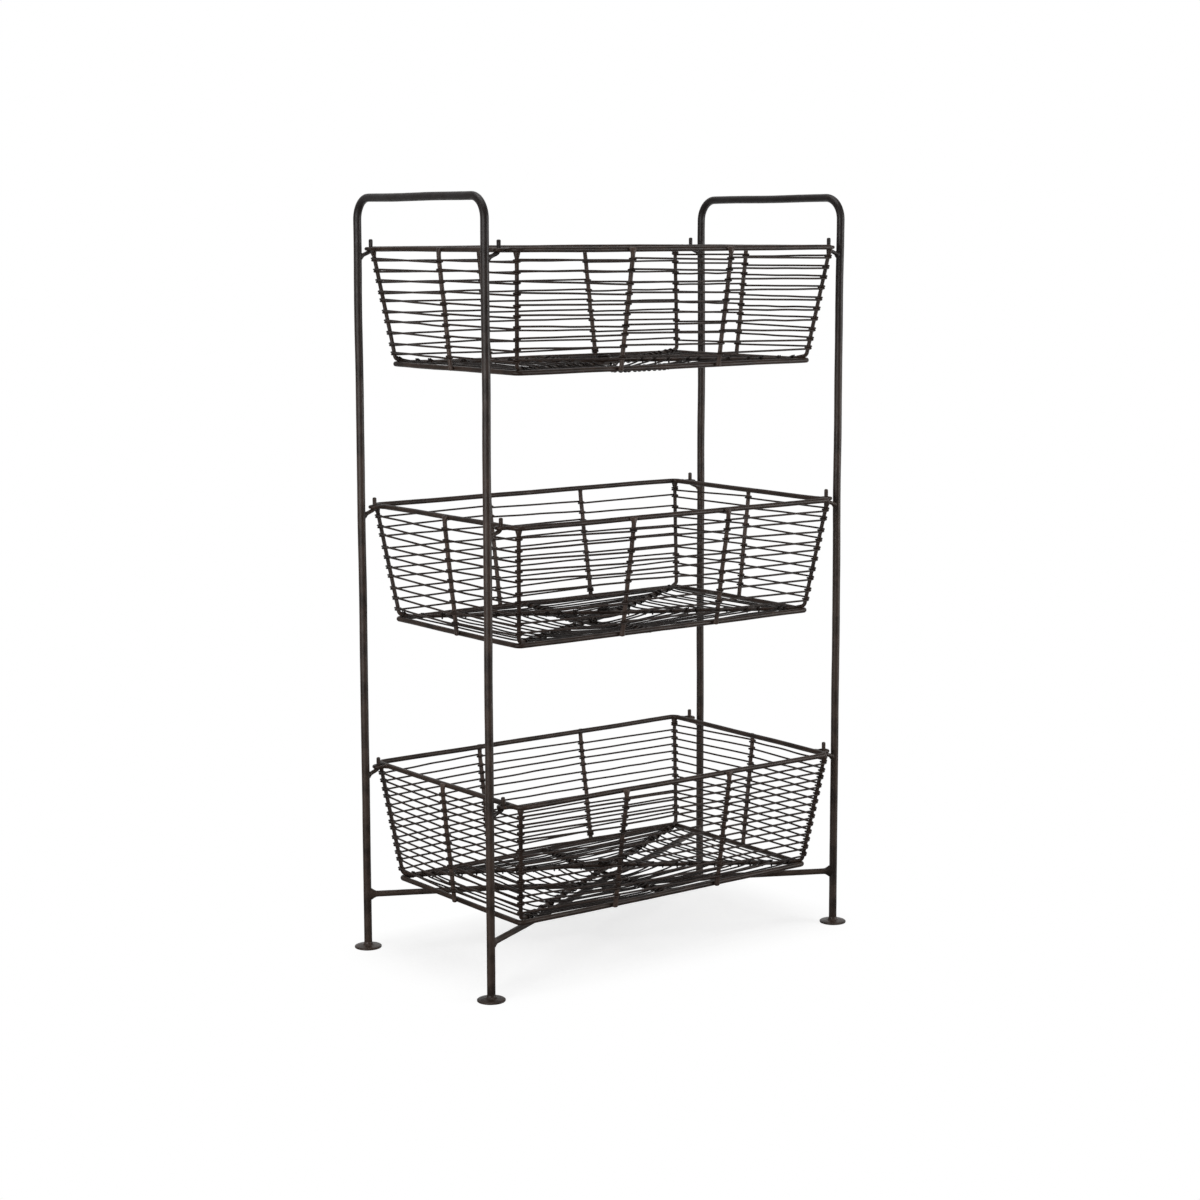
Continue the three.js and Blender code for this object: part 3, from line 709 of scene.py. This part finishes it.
class STAND_OT_brace(bpy.types.Operator):
    """Two rods crossed near the floor with flared welds on the legs, bolted where they cross"""

    bl_idname = "basket_stand.brace"
    bl_label = "Cross brace"

    def execute(self, context):
        scene = context.scene
        for node, start_end in (("brace_rod_upper", "front"), ("brace_rod_lower", "rear")):
            add_to_stand(scene, node, [self.rod(scene, node, leg_place(start_end, "left"))])
        add_to_stand(scene, "brace_bolt", self.bolt(scene), BOLT_SMOOTH_ANGLE)
        return {"FINISHED"}

    def rod(self, scene, node, start):
        """Rod from a leg to the one across, level at the crossing and bowed to it on both sides."""
        sizes = scene.stand_sizes
        low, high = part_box(node)
        radius = sizes.brace_diameter / 2
        rises = node.endswith("upper")
        ends_z = low.z + radius if rises else high.z - radius
        middle_z = high.z - radius if rises else low.z + radius
        share = np.linspace(-1, 1, BRACE_POINTS)
        bow = np.clip((BRACE_LEVEL + BRACE_BOW - np.abs(share)) / BRACE_BOW, 0, 1)
        bow = bow * bow * (3 - 2 * bow)
        path = np.column_stack((
            -start[0] * share, -start[1] * share, ends_z + (middle_z - ends_z) * bow
        ))
        places = (1 - np.abs(share)) * np.linalg.norm(start) - sizes.bar_diameter * BRACE_ROOT
        fishtail = Weld(
            sizes.bar_diameter * BRACE_WELD_WIDTH, sizes.brace_weld, sizes.brace_weld_reach
        )
        wide, tall = welded(places, sizes.brace_diameter, fishtail)
        worked = uneven(along(path), BRACE_WORK, random.Random(node))
        return swept(path, wide * worked, tall * worked, sides=16)

    def bolt(self, scene):
        sizes = scene.stand_sizes
        low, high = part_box("brace_bolt")
        shank = sizes.bolt_diameter / 2
        head = (high.x - low.x) / 2
        under_head = high.z - low.z - sizes.bolt_head
        stem = [(shank * out, rise) for out, rise in BOLT_TIP]
        stem.append((shank, under_head))
        stem += [(head * out, under_head + sizes.bolt_head * rise) for out, rise in BOLT_DOME]
        nut = sizes.nut_width / 2
        nut_low = sizes.bolt_tail
        nut_high = nut_low + sizes.nut_height
        collar = (
            (nut * NUT_FACE, nut_low), (nut, nut_low + NUT_BEVEL),
            (nut, nut_high - NUT_BEVEL), (nut * NUT_FACE, nut_high),
        )
        centre = (0.0, 0.0, low.z)
        return [turned(stem, centre, sides=24), turned(collar, centre, sides=6)]


# Baskets


# Roots and insets without a unit are in rim diameters. A weld is full up to its root from the rim's
# axis, and a cross bar ends its inset short of the floor frame's axis.
RING_SWAY = 0.35 * MM
RING_SWAYS = 3
RING_UNEVEN = 0.015
RING_SWELLS = 31
LOOP_WORK = Work(uneven=0.02, uneven_length=0.015)
LOOP_WELD = Weld(8 * MM, 5.4 * MM, reach=3.5 * MM)
LOOP_ROOT = 0.4
RIB_WORK = Work(uneven=0.02, uneven_length=0.03, sway=0.4 * MM, sway_length=0.16)
RIB_WELD = Weld(7.5 * MM, 7.5 * MM, reach=5 * MM)
BAR_WORK = Work(uneven=0.02, uneven_length=0.03, sway=0.4 * MM, sway_length=0.12)
BAR_WELD = Weld(11 * MM, 7 * MM, reach=8 * MM)
BAR_FULL_WELD = 1.5 * MM
BAR_INSET = 0.3
BAR_POINTS = 60
UPRIGHT_WORK = Work(uneven=0.02, uneven_length=0.03, sway=0.35 * MM, sway_length=0.09)
UPRIGHT_RISE = 0.6 * MM
UPRIGHT_LEAN = 1.6 * MM
UPRIGHT_LEAN_LENGTH = 4 * MM
UPRIGHT_WELDS = (8 * MM, 11 * MM)
UPRIGHT_WELD_REACH = 6 * MM
UPRIGHT_FOOT_WELD = 2 * MM
UPRIGHT_FOOT_REACH = 5 * MM


def rod_ring(half, corner_radius, z, size, draw):
    """Skin of a rod bent to a level rectangle with round corners, from the half lengths."""
    x, y = half
    middle = (0.0, -y, z)
    corners = (middle, (x, -y, z), (x, y, z), (-x, y, z), (-x, -y, z), middle)
    path = spaced(bent(corners, corner_radius), 8 * MM)[:-1]
    places = along(path)
    for axis in range(3):
        path[:, axis] += RING_SWAY * ripple(places, places[-1] / RING_SWAYS, draw)
    worked = size * (1 + RING_UNEVEN * ripple(places, places[-1] / RING_SWELLS, draw))
    return swept(path, worked, sides=16, closed=True)


class BASKET_OT_rims(bpy.types.Operator):
    """Rims bent from one rod, each with the four loops that drop over the pins"""

    bl_idname = "basket_stand.rims"
    bl_label = "Rims and loops"

    def execute(self, context):
        for plan in basket_plans(context):
            sizes = plan.sizes
            draw = plan.draw("rim")
            radius = sizes.rim_corner_radius
            skins = [rod_ring(plan.rim, radius, plan.rim_z, sizes.rim_diameter, draw)]
            for side in SIDES.values():
                for end in ENDS.values():
                    skins.append(self.loop(plan, side, end, draw))
            plan.add("rim", skins, basket_finish)
        return {"FINISHED"}

    def loop(self, plan, side, end, draw):
        sizes = plan.sizes
        y = end * plan.leg_y
        path = [(side * plan.rim[0], y - sizes.loop_radius, plan.rim_z)]
        for angle in np.linspace(-QUARTER_TURN, QUARTER_TURN, 17):
            out = plan.pin_x + sizes.loop_radius * math.cos(angle)
            path.append((side * out, y + sizes.loop_radius * math.sin(angle), plan.rim_z))
        path.append((side * plan.rim[0], y + sizes.loop_radius, plan.rim_z))
        path = spaced(np.array(path), 1.2 * MM)
        places = along(path)
        to_rim = np.minimum(places, places[-1] - places) - sizes.rim_diameter * LOOP_ROOT
        wide, tall = welded(to_rim, sizes.loop_diameter, LOOP_WELD)
        worked = uneven(places, LOOP_WORK, draw)
        return swept(path, wide * worked, tall * worked)


class BASKET_OT_floor_frames(bpy.types.Operator):
    """Level frames that the posts and uprights are welded to at the bottom of each basket"""

    bl_idname = "basket_stand.floor_frames"
    bl_label = "Floor frames"

    def execute(self, context):
        for plan in basket_plans(context):
            sizes = plan.sizes
            draw = plan.draw("floor_frame")
            radius = sizes.floor_corner_radius
            skins = [rod_ring(plan.floor, radius, plan.floor_z, sizes.rim_diameter, draw)]
            plan.add("floor_frame", skins, basket_finish)
        return {"FINISHED"}


class BASKET_OT_ribs(bpy.types.Operator):
    """Corner ribs, each two posts and the floor diagonal between them, and the floor cross bars"""

    bl_idname = "basket_stand.ribs"
    bl_label = "Ribs and cross bars"

    def execute(self, context):
        for plan in basket_plans(context):
            for level, sign in (("lower", 1), ("upper", -1)):
                name = f"corner_rib_{level}"
                skins = [self.rib(plan, sign, level == "upper", plan.draw(name))]
                plan.add(name, skins, basket_finish)
            name = "floor_crossbar"
            plan.add(name, [self.crossbar(plan, plan.draw(name))], basket_finish)
        return {"FINISHED"}

    def rib(self, plan, sign_y, crested, draw):
        sizes = plan.sizes
        mirror = np.array((1, sign_y, 1))
        top, foot = plan.post_top * mirror, plan.post_foot * mirror
        reach = math.hypot(*foot[:2])
        corners = [top, foot]
        for distance in (reach - sizes.rib_dip, sizes.crossing):
            corners.append((*foot[:2] * distance / reach, plan.rib_height(distance, crested)))
        half = bent(corners, sizes.rib_bend_radius)
        path = spaced(np.vstack((half, half[::-1] * (-1, -1, 1))), 6 * MM)
        places = along(path)
        path = hand_bent(path, RIB_WORK, draw)
        to_rim = np.minimum(places, places[-1] - places)
        wide, tall = welded(to_rim, sizes.rib_diameter, RIB_WELD)
        worked = uneven(places, RIB_WORK, draw)
        return swept(path, wide * worked, tall * worked, up=(0, 1, 0))

    def crossbar(self, plan, draw):
        sizes = plan.sizes
        reach = plan.floor[1] - sizes.rim_diameter * BAR_INSET
        share = np.linspace(-1, 1, BAR_POINTS)
        heights = [plan.bar_height(place) for place in reach * share]
        path = np.column_stack((np.full(BAR_POINTS, plan.bar_x), reach * share, heights))
        path = hand_bent(path, BAR_WORK, draw)
        to_frame = (1 - np.abs(share)) * reach - BAR_FULL_WELD
        wide, tall = welded(to_frame, sizes.rib_diameter, BAR_WELD)
        worked = uneven(along(path), BAR_WORK, draw)
        return swept(path, wide * worked, tall * worked)


class BASKET_OT_uprights(bpy.types.Operator):
    """Six leaning uprights on each basket, welded outside its rim and floor frame"""

    bl_idname = "basket_stand.uprights"
    bl_label = "Uprights"

    def execute(self, context):
        for plan in basket_plans(context):
            for name in UPRIGHTS:
                node = f"upright_{name}"
                plan.add(node, [self.upright(plan, name, plan.draw(node))], upright_finish)
        return {"FINISHED"}

    def upright(self, plan, name, draw):
        sizes = plan.sizes
        top = plan.upright(name, plan.rim_z + UPRIGHT_RISE)
        foot = plan.upright(name, plan.floor_z - sizes.upright_proud)
        inward = np.array((1, 0, 0)) if name in SIDES else np.array((0, 1, 0))
        inward = -inward * np.sign(top @ inward)
        path = spaced(np.array((top, foot)), 2 * MM)
        places = along(path)
        path = hand_bent(path, UPRIGHT_WORK, draw)
        path += np.exp(-places / UPRIGHT_LEAN_LENGTH)[:, None] * inward * UPRIGHT_LEAN
        top_weld = draw.uniform(*UPRIGHT_WELDS)
        wide = flare(places, sizes.upright_diameter, top_weld, UPRIGHT_WELD_REACH)
        wide += flare(places - places[-1], 0.0, UPRIGHT_FOOT_WELD, UPRIGHT_FOOT_REACH)
        worked = uneven(places, UPRIGHT_WORK, draw)
        return swept(path, wide * worked, sizes.upright_diameter * worked, up=inward)


# Wires


# Turns lie a turn pitch apart, in wire diameters. Slips along a rod are usual and largest ones, on the
# sides in shares of the pitch between rounds. The eye runs from its start to its end in half turns.
WIRE_STEP = 7 * MM
WIRE_KINK = 7 * MM
WIRE_WAVE = 0.16 * MM
WIRE_WAVES = (1.0, 2.4)
WIRE_SIDES = 8
WRAP_POINTS = 14
WRAP_STEP = math.radians(26)
SIDE_TURN_PITCH = 1.02
SIDE_SLIP = 0.08
SIDE_SLIP_LIMIT = 0.16
FLOOR_TURN_PITCH = 1.05
FLOOR_SLIP = 1.6 * MM
FLOOR_SLIP_LIMIT = 2.8 * MM
BAR_CLEARANCE = 7 * MM
EYE_START = 0.35
EYE_END = 4.3
EYE_POINTS = 40
EYE_LEVEL_TURNS = 0.4


def slack_span(start, end, draw, bow, levels=None):
    """Points of a run of wire between two rods, without its ends.

    With levels the run keeps to them and bends to the turn round each rod within a kink's length.
    Without levels it goes straight from turn to turn.
    """
    start_level, end_level = levels or (start[2], end[2])
    reach = np.linalg.norm(end - start)
    points = max(4, round(reach / WIRE_STEP))
    aside = draw.gauss(0, bow)
    wave = draw.gauss(0, WIRE_WAVE)
    waves = draw.uniform(*WIRE_WAVES)
    phase = draw.uniform(0, FULL_TURN)
    sideways = unit(np.cross(end - start, UP))
    run = []
    for share in np.linspace(0, 1, points + 2)[1:-1]:
        hold = math.sin(math.pi * share)
        spot = start + (end - start) * share + sideways * aside * hold
        spot[2] = start_level + (end_level - start_level) * share
        spot[2] += (start[2] - start_level) * math.exp(-share * reach / WIRE_KINK)
        spot[2] += (end[2] - end_level) * math.exp(-(1 - share) * reach / WIRE_KINK)
        spot[2] += hold * wave * math.sin(FULL_TURN * waves * share + phase)
        run.append(spot)
    return run


class BASKET_OT_side_wires(bpy.types.Operator):
    """One wire wound round the sides of each basket, with a full turn round every rod"""

    bl_idname = "basket_stand.side_wires"
    bl_label = "Side wires"

    def execute(self, context):
        for plan in basket_plans(context):
            path = self.winding(plan, plan.draw("side_wire"))
            skins = [swept(path, plan.sizes.wire_diameter, sides=WIRE_SIDES)]
            plan.add("side_wire", skins, side_wire_finish, "wire_iron")
        return {"FINISHED"}

    def stations(self, plan):
        """Rods in the order that the wire meets them: axis, facing on arrival, corner turn, fall.

        The fall is the share of one round's drop that the wire has made when it arrives there.
        """
        quarter = QUARTER_TURN

        def corner(sign_x, sign_y, facing, fall):
            return lambda z: plan.post(sign_x, sign_y, z), facing, quarter, fall

        def side(name, facing, fall):
            return lambda z: plan.upright(name, z), facing, 0.0, fall

        return (
            corner(1, 1, quarter, 0.0), side("right", 0.0, 0.12),
            corner(1, -1, 0.0, 0.25), side("front_right", -quarter, 0.27),
            side("front_left", -quarter, 0.29), corner(-1, -1, -quarter, 0.31),
            side("left", -2 * quarter, 0.35), corner(-1, 1, -2 * quarter, 0.4),
            side("rear_left", quarter, 0.6), side("rear_right", quarter, 0.8),
        )

    def winding(self, plan, draw):
        sizes = plan.sizes
        stations = self.stations(plan)
        count = plan.rounds * len(stations)
        top = plan.rim_z - plan.first_round
        bottom = plan.floor_z + sizes.last_round
        pitch = (top - bottom) / (plan.rounds - 1 + stations[-1][3])
        wrap_radius = (sizes.upright_diameter + sizes.wire_diameter) / 2 - sizes.wire_bed
        path = []
        for index in range(count):
            axis, facing, corner_turn, fall = stations[index % len(stations)]
            level = top - pitch * (index // len(stations) + fall)
            slip = np.clip(draw.gauss(0, SIDE_SLIP), -SIDE_SLIP_LIMIT, SIDE_SLIP_LIMIT) * pitch
            tied = FULL_TURN if index in (0, count - 1) else 0.0
            turn = FULL_TURN + corner_turn + tied
            drop = sizes.wire_diameter * SIDE_TURN_PITCH * turn / FULL_TURN
            wrap = []
            for share in np.linspace(0, 1, max(WRAP_POINTS, round(turn / WRAP_STEP))):
                height = level + slip + drop * (0.5 - share)
                angle = facing - turn * share
                outward = np.array((math.cos(angle), math.sin(angle), 0.0))
                wrap.append(axis(height) + wrap_radius * outward)
            if path:
                path += slack_span(path[-1], wrap[0], draw, sizes.wire_bow)
            path += wrap
        return np.array(path)


class BASKET_OT_floor_wires(bpy.types.Operator):
    """One wire wound inwards over each basket's floor, with a turn round every rod"""

    bl_idname = "basket_stand.floor_wires"
    bl_label = "Floor wires"

    def execute(self, context):
        for plan in basket_plans(context):
            path = self.winding(plan, plan.draw("floor_wire"))
            skins = [swept(path, plan.sizes.floor_wire_diameter, sides=WIRE_SIDES)]
            plan.add("floor_wire", skins, floor_wire_painted_shade_finish, "wire_iron")
        return {"FINISHED"}

    def stations(self, plan):
        """Rods in the order that the wire meets them: plan place of the outer end, kind, heading."""
        x, y = plan.post_foot[:2]
        return (
            ((-x, y), "upper", (-1, -1)), ((-x, -y), "lower", (1, -1)),
            ((0, -y), "bar", (1, 0)), ((x, -y), "upper", (1, 1)),
            ((x, y), "lower", (-1, 1)), ((0, y), "bar", (-1, 0)),
        )

    def on_rod(self, plan, kind, far, share, shift):
        """Point on a rod's axis at a share of its length, moved along it by the shift."""
        spot = np.append(far * share, 0.0) + shift
        if kind == "bar":
            spot[0] += plan.bar_x
            spot[2] = plan.bar_height(spot[1])
        else:
            spot[2] = plan.rib_height(math.hypot(*spot[:2]), kind == "upper")
        return spot

    def winding(self, plan, draw):
        sizes = plan.sizes
        stations = self.stations(plan)
        count = plan.floor_turns * len(stations)
        foot_x, foot_y = plan.post_foot[:2]
        outer = (plan.floor[1] - sizes.floor_margin) / foot_y
        inner = sizes.floor_eye / foot_y
        wrap_radius = (sizes.rib_diameter + sizes.floor_wire_diameter) / 2
        path = []
        level = None
        for index in range(count):
            far, kind, heading = stations[index % len(stations)]
            far = np.array(far)
            slip = np.clip(draw.gauss(0, FLOOR_SLIP), -FLOOR_SLIP_LIMIT, FLOOR_SLIP_LIMIT) / foot_y
            share = outer + (inner - outer) * index / (count - 1) + slip
            if kind == "bar" and abs(plan.bar_x) > share * foot_x - BAR_CLEARANCE:
                continue
            inward = np.append(-unit(far), 0.0)
            aside = np.cross(UP, inward)
            aside *= np.sign(aside[:2] @ np.array(heading))
            wrap = []
            for part in np.linspace(0, 1, WRAP_POINTS):
                shift = inward * (part - 0.5) * sizes.floor_wire_diameter * FLOOR_TURN_PITCH
                spot = self.on_rod(plan, kind, far, share, shift)
                angle = FULL_TURN * part
                wrap.append(spot + wrap_radius * (UP * math.cos(angle) + aside * math.sin(angle)))
            next_level = self.on_rod(plan, kind, far, share, 0.0)[2] - sizes.floor_run_drop
            if path:
                levels = (level, next_level)
                path += slack_span(path[-1], wrap[0], draw, sizes.floor_wire_bow, levels)
            path += wrap
            level = next_level
        path += self.eye(plan, path[-1])
        return np.array(path)

    def eye(self, plan, start):
        """Small ring of two turns over the crossing, where the wire ends."""
        sizes = plan.sizes
        level = plan.rib_height(0.0, True) + (sizes.rib_diameter + sizes.floor_wire_diameter) / 2
        first = math.atan2(start[1], start[0])
        ring = []
        for turn in np.linspace(EYE_START, EYE_END, EYE_POINTS) * math.pi:
            out = sizes.eye_ring * np.array((math.cos(first + turn), math.sin(first + turn)))
            rise = sizes.floor_wire_diameter * max(0.0, turn / FULL_TURN - EYE_LEVEL_TURNS)
            ring.append(np.append(out, level + rise))
        return ring


# Stage


CAMERA_PLACE = (-1.6549, -2.1838, 0.8092)
CAMERA_AZIMUTH = math.radians(-37.07)
CAMERA_ELEVATION = math.radians(7.71)
CAMERA_ROLL = math.radians(-0.14)
CAMERA_LENS = 72.98
CAMERA_SENSOR = 36.0
CAMERA_SHIFT = -0.0333
CAMERA_RANGE = 50.0

LAMP_TARGET = (0.0, 0.0, 0.42)
# Each lamp's name, place, width and height, and watts
LAMPS = (
    ("left_softbox", (-1.67, -0.54, 0.62), (1.5, 1.1), 19.0),
    ("right_softbox", (1.23, -1.32, 0.62), (1.0, 1.1), 16.5),
    ("top_softbox", (-0.1, -0.1, 2.2), (1.2, 1.2), 14.0),
)

STUDIO_FRONT = (math.sin(CAMERA_AZIMUTH), -math.cos(CAMERA_AZIMUTH), 0.0)
STUDIO_DIM = 0.10
STUDIO_DIM_FROM = -0.1
WORLD_FILL = 0.05

# The camera sees a floor that takes shade on a patch under the stand and fades to white round it
FLOOR_HALF = 6.0
FLOOR_BOUNCE = 0.32
FLOOR_SHADE = 0.7
FLOOR_GLOW = 0.66
FLOOR_PATCH = (0.20, 0.08, 0.0)
FLOOR_FADE = 0.09


class STAND_OT_stage(bpy.types.Operator):
    """Pale floor, soft studio light and the camera"""

    bl_idname = "basket_stand.stage"
    bl_label = "Stage"

    def execute(self, context):
        scene = context.scene
        scene.view_settings.view_transform = "Standard"
        self.floor(scene)
        self.world(scene)
        for name, place, size, power in LAMPS:
            self.lamp(scene, name, place, size, power)
        self.camera(scene)
        return {"FINISHED"}

    def floor(self, scene):
        half = FLOOR_HALF
        mesh = bpy.data.meshes.new("studio_floor")
        corners = [(-half, -half, 0), (half, -half, 0), (half, half, 0), (-half, half, 0)]
        mesh.from_pydata(corners, [], [(0, 1, 2, 3)])
        plane = bpy.data.objects.new("studio_floor", mesh)
        scene.collection.objects.link(plane)
        material = bpy.data.materials.new("pale_floor")
        material.use_nodes = True
        mesh.materials.append(material)
        tree = material.node_tree
        tree.nodes.clear()
        white = np.array(scene.iron_finish.floor_white)
        matt = self.matt(tree, FLOOR_BOUNCE * white)
        shaded = self.matt(tree, FLOOR_SHADE * white)
        near = add_node(
            tree, "ShaderNodeAddShader", {0: shaded, 1: self.glow(tree, FLOOR_GLOW)}
        ).outputs["Shader"]
        place = add_node(tree, "ShaderNodeNewGeometry").outputs["Position"]
        fade = ranged(tree, self.outside(tree, place, FLOOR_PATCH), 0.0, FLOOR_FADE)
        shown = self.either(tree, fade, near, self.glow(tree, 1.0))
        camera, reflected = self.rays(tree)
        mirrored = self.either(tree, reflected, matt, self.glow(tree, self.studio(tree, place)))
        blend = self.either(tree, camera, mirrored, shown)
        add_node(tree, "ShaderNodeOutputMaterial", {"Surface": blend})

    def vector(self, tree, operation, *inputs, result="Vector"):
        """Result of one step of vector arithmetic."""
        node = add_node(
            tree, "ShaderNodeVectorMath", dict(enumerate(inputs)), operation=operation
        )
        return node.outputs[result]

    def outside(self, tree, place, half):
        """How far a place lies outside a rectangle round the origin, from its half lengths."""
        past = self.vector(tree, "SUBTRACT", self.vector(tree, "ABSOLUTE", place), half)
        clear = self.vector(tree, "MAXIMUM", past, (0, 0, 0))
        return self.vector(tree, "LENGTH", clear, result="Value")

    def either(self, tree, share, first, second):
        return add_node(
            tree, "ShaderNodeMixShader", {0: share, 1: first, 2: second}
        ).outputs["Shader"]

    def matt(self, tree, shade):
        return add_node(
            tree, "ShaderNodeBsdfDiffuse", {"Color": (*shade, 1.0)}
        ).outputs["BSDF"]

    def glow(self, tree, strength):
        return add_node(
            tree, "ShaderNodeEmission", {"Color": (1, 1, 1, 1), "Strength": strength}
        ).outputs["Emission"]

    def rays(self, tree):
        """Whether a ray comes from the camera, and whether it is a reflection or a refraction."""
        path = add_node(tree, "ShaderNodeLightPath").outputs
        reflected = add_node(
            tree, "ShaderNodeMath",
            {0: path["Is Glossy Ray"], 1: path["Is Transmission Ray"]}, operation="MAXIMUM",
        )
        return path["Is Camera Ray"], reflected.outputs["Value"]

    def studio(self, tree, place):
        """Brightness of the studio in reflections: white behind the stand, dim towards the front."""
        way = self.vector(tree, "NORMALIZE", place)
        ahead = self.vector(tree, "DOT_PRODUCT", way, STUDIO_FRONT, result="Value")
        return ranged(tree, ahead, -1.0, STUDIO_DIM_FROM, 1.0, STUDIO_DIM)

    def world(self, scene):
        world = bpy.data.worlds.new("studio_white")
        scene.world = world
        world.use_nodes = True
        tree = world.node_tree
        background = tree.nodes["Background"]
        background.inputs["Color"].default_value = (1, 1, 1, 1)
        way = add_node(tree, "ShaderNodeTexCoord").outputs["Generated"]
        camera, reflected = self.rays(tree)
        lit = ranged(tree, reflected, 0.0, 1.0, WORLD_FILL, self.studio(tree, way))
        strength = ranged(tree, camera, 0.0, 1.0, lit, 1.0)
        tree.links.new(strength, background.inputs["Strength"])

    def lamp(self, scene, name, place, size, power):
        light = bpy.data.lights.new(name, "AREA")
        light.shape = "RECTANGLE"
        light.size, light.size_y = size
        light.energy = power
        lamp = bpy.data.objects.new(name, light)
        lamp.location = place
        aim = Vector(LAMP_TARGET) - Vector(place)
        lamp.rotation_euler = aim.to_track_quat("-Z", "Y").to_euler()
        lamp.visible_camera = False
        scene.collection.objects.link(lamp)

    def camera(self, scene):
        lens = bpy.data.cameras.new("photo_camera")
        lens.lens = CAMERA_LENS
        lens.sensor_width = CAMERA_SENSOR
        lens.sensor_fit = "HORIZONTAL"
        lens.shift_y = CAMERA_SHIFT
        lens.clip_end = CAMERA_RANGE
        camera = bpy.data.objects.new("photo_camera", lens)
        back = Vector((
            math.sin(CAMERA_AZIMUTH) * math.cos(CAMERA_ELEVATION),
            -math.cos(CAMERA_AZIMUTH) * math.cos(CAMERA_ELEVATION),
            math.sin(CAMERA_ELEVATION),
        ))
        right = Vector((math.cos(CAMERA_AZIMUTH), math.sin(CAMERA_AZIMUTH), 0.0))
        up = back.cross(right)
        turned_right = right * math.cos(CAMERA_ROLL) + up * math.sin(CAMERA_ROLL)
        turned_up = up * math.cos(CAMERA_ROLL) - right * math.sin(CAMERA_ROLL)
        turn = Matrix((turned_right, turned_up, back)).transposed().to_4x4()
        camera.matrix_world = Matrix.Translation(CAMERA_PLACE) @ turn
        scene.collection.objects.link(camera)
        scene.camera = camera


OPERATORS = (
    STAND_OT_end_frames,
    STAND_OT_feet,
    STAND_OT_hooks,
    STAND_OT_brace,
    BASKET_OT_rims,
    BASKET_OT_floor_frames,
    BASKET_OT_ribs,
    BASKET_OT_uprights,
    BASKET_OT_side_wires,
    BASKET_OT_floor_wires,
    STAND_OT_stage,
)


class STAND_PT_panel(bpy.types.Panel):
    """Lists the pieces of the stand, its sizes and its finishes"""

    bl_idname = "STAND_PT_panel"
    bl_label = "Wire basket stand"
    bl_space_type = "VIEW_3D"
    bl_region_type = "UI"
    bl_category = "Basket stand"

    def draw(self, context):
        scene = context.scene
        column = self.layout.column()
        for operator in OPERATORS:
            column.operator(operator.bl_idname)
        for group in (scene.stand_sizes, scene.basket_sizes, scene.iron_finish):
            box = self.layout.box()
            for name in group.__annotations__:
                box.prop(group, name)


GROUPS = {"stand_sizes": StandSizes, "basket_sizes": BasketSizes, "iron_finish": IronFinish}


def register():
    for group in GROUPS.values():
        bpy.utils.register_class(group)
    for operator in OPERATORS:
        bpy.utils.register_class(operator)
    bpy.utils.register_class(STAND_PT_panel)
    for name, group in GROUPS.items():
        setattr(bpy.types.Scene, name, PointerProperty(type=group))


def unregister():
    for name in GROUPS:
        delattr(bpy.types.Scene, name)
    bpy.utils.unregister_class(STAND_PT_panel)
    for operator in reversed(OPERATORS):
        bpy.utils.unregister_class(operator)
    for group in reversed(GROUPS.values()):
        bpy.utils.unregister_class(group)


def main():
    register()
    for operator in OPERATORS:
        name = operator.bl_idname.split(".")[1]
        getattr(bpy.ops.basket_stand, name)()


if __name__ == "__main__":
    main()
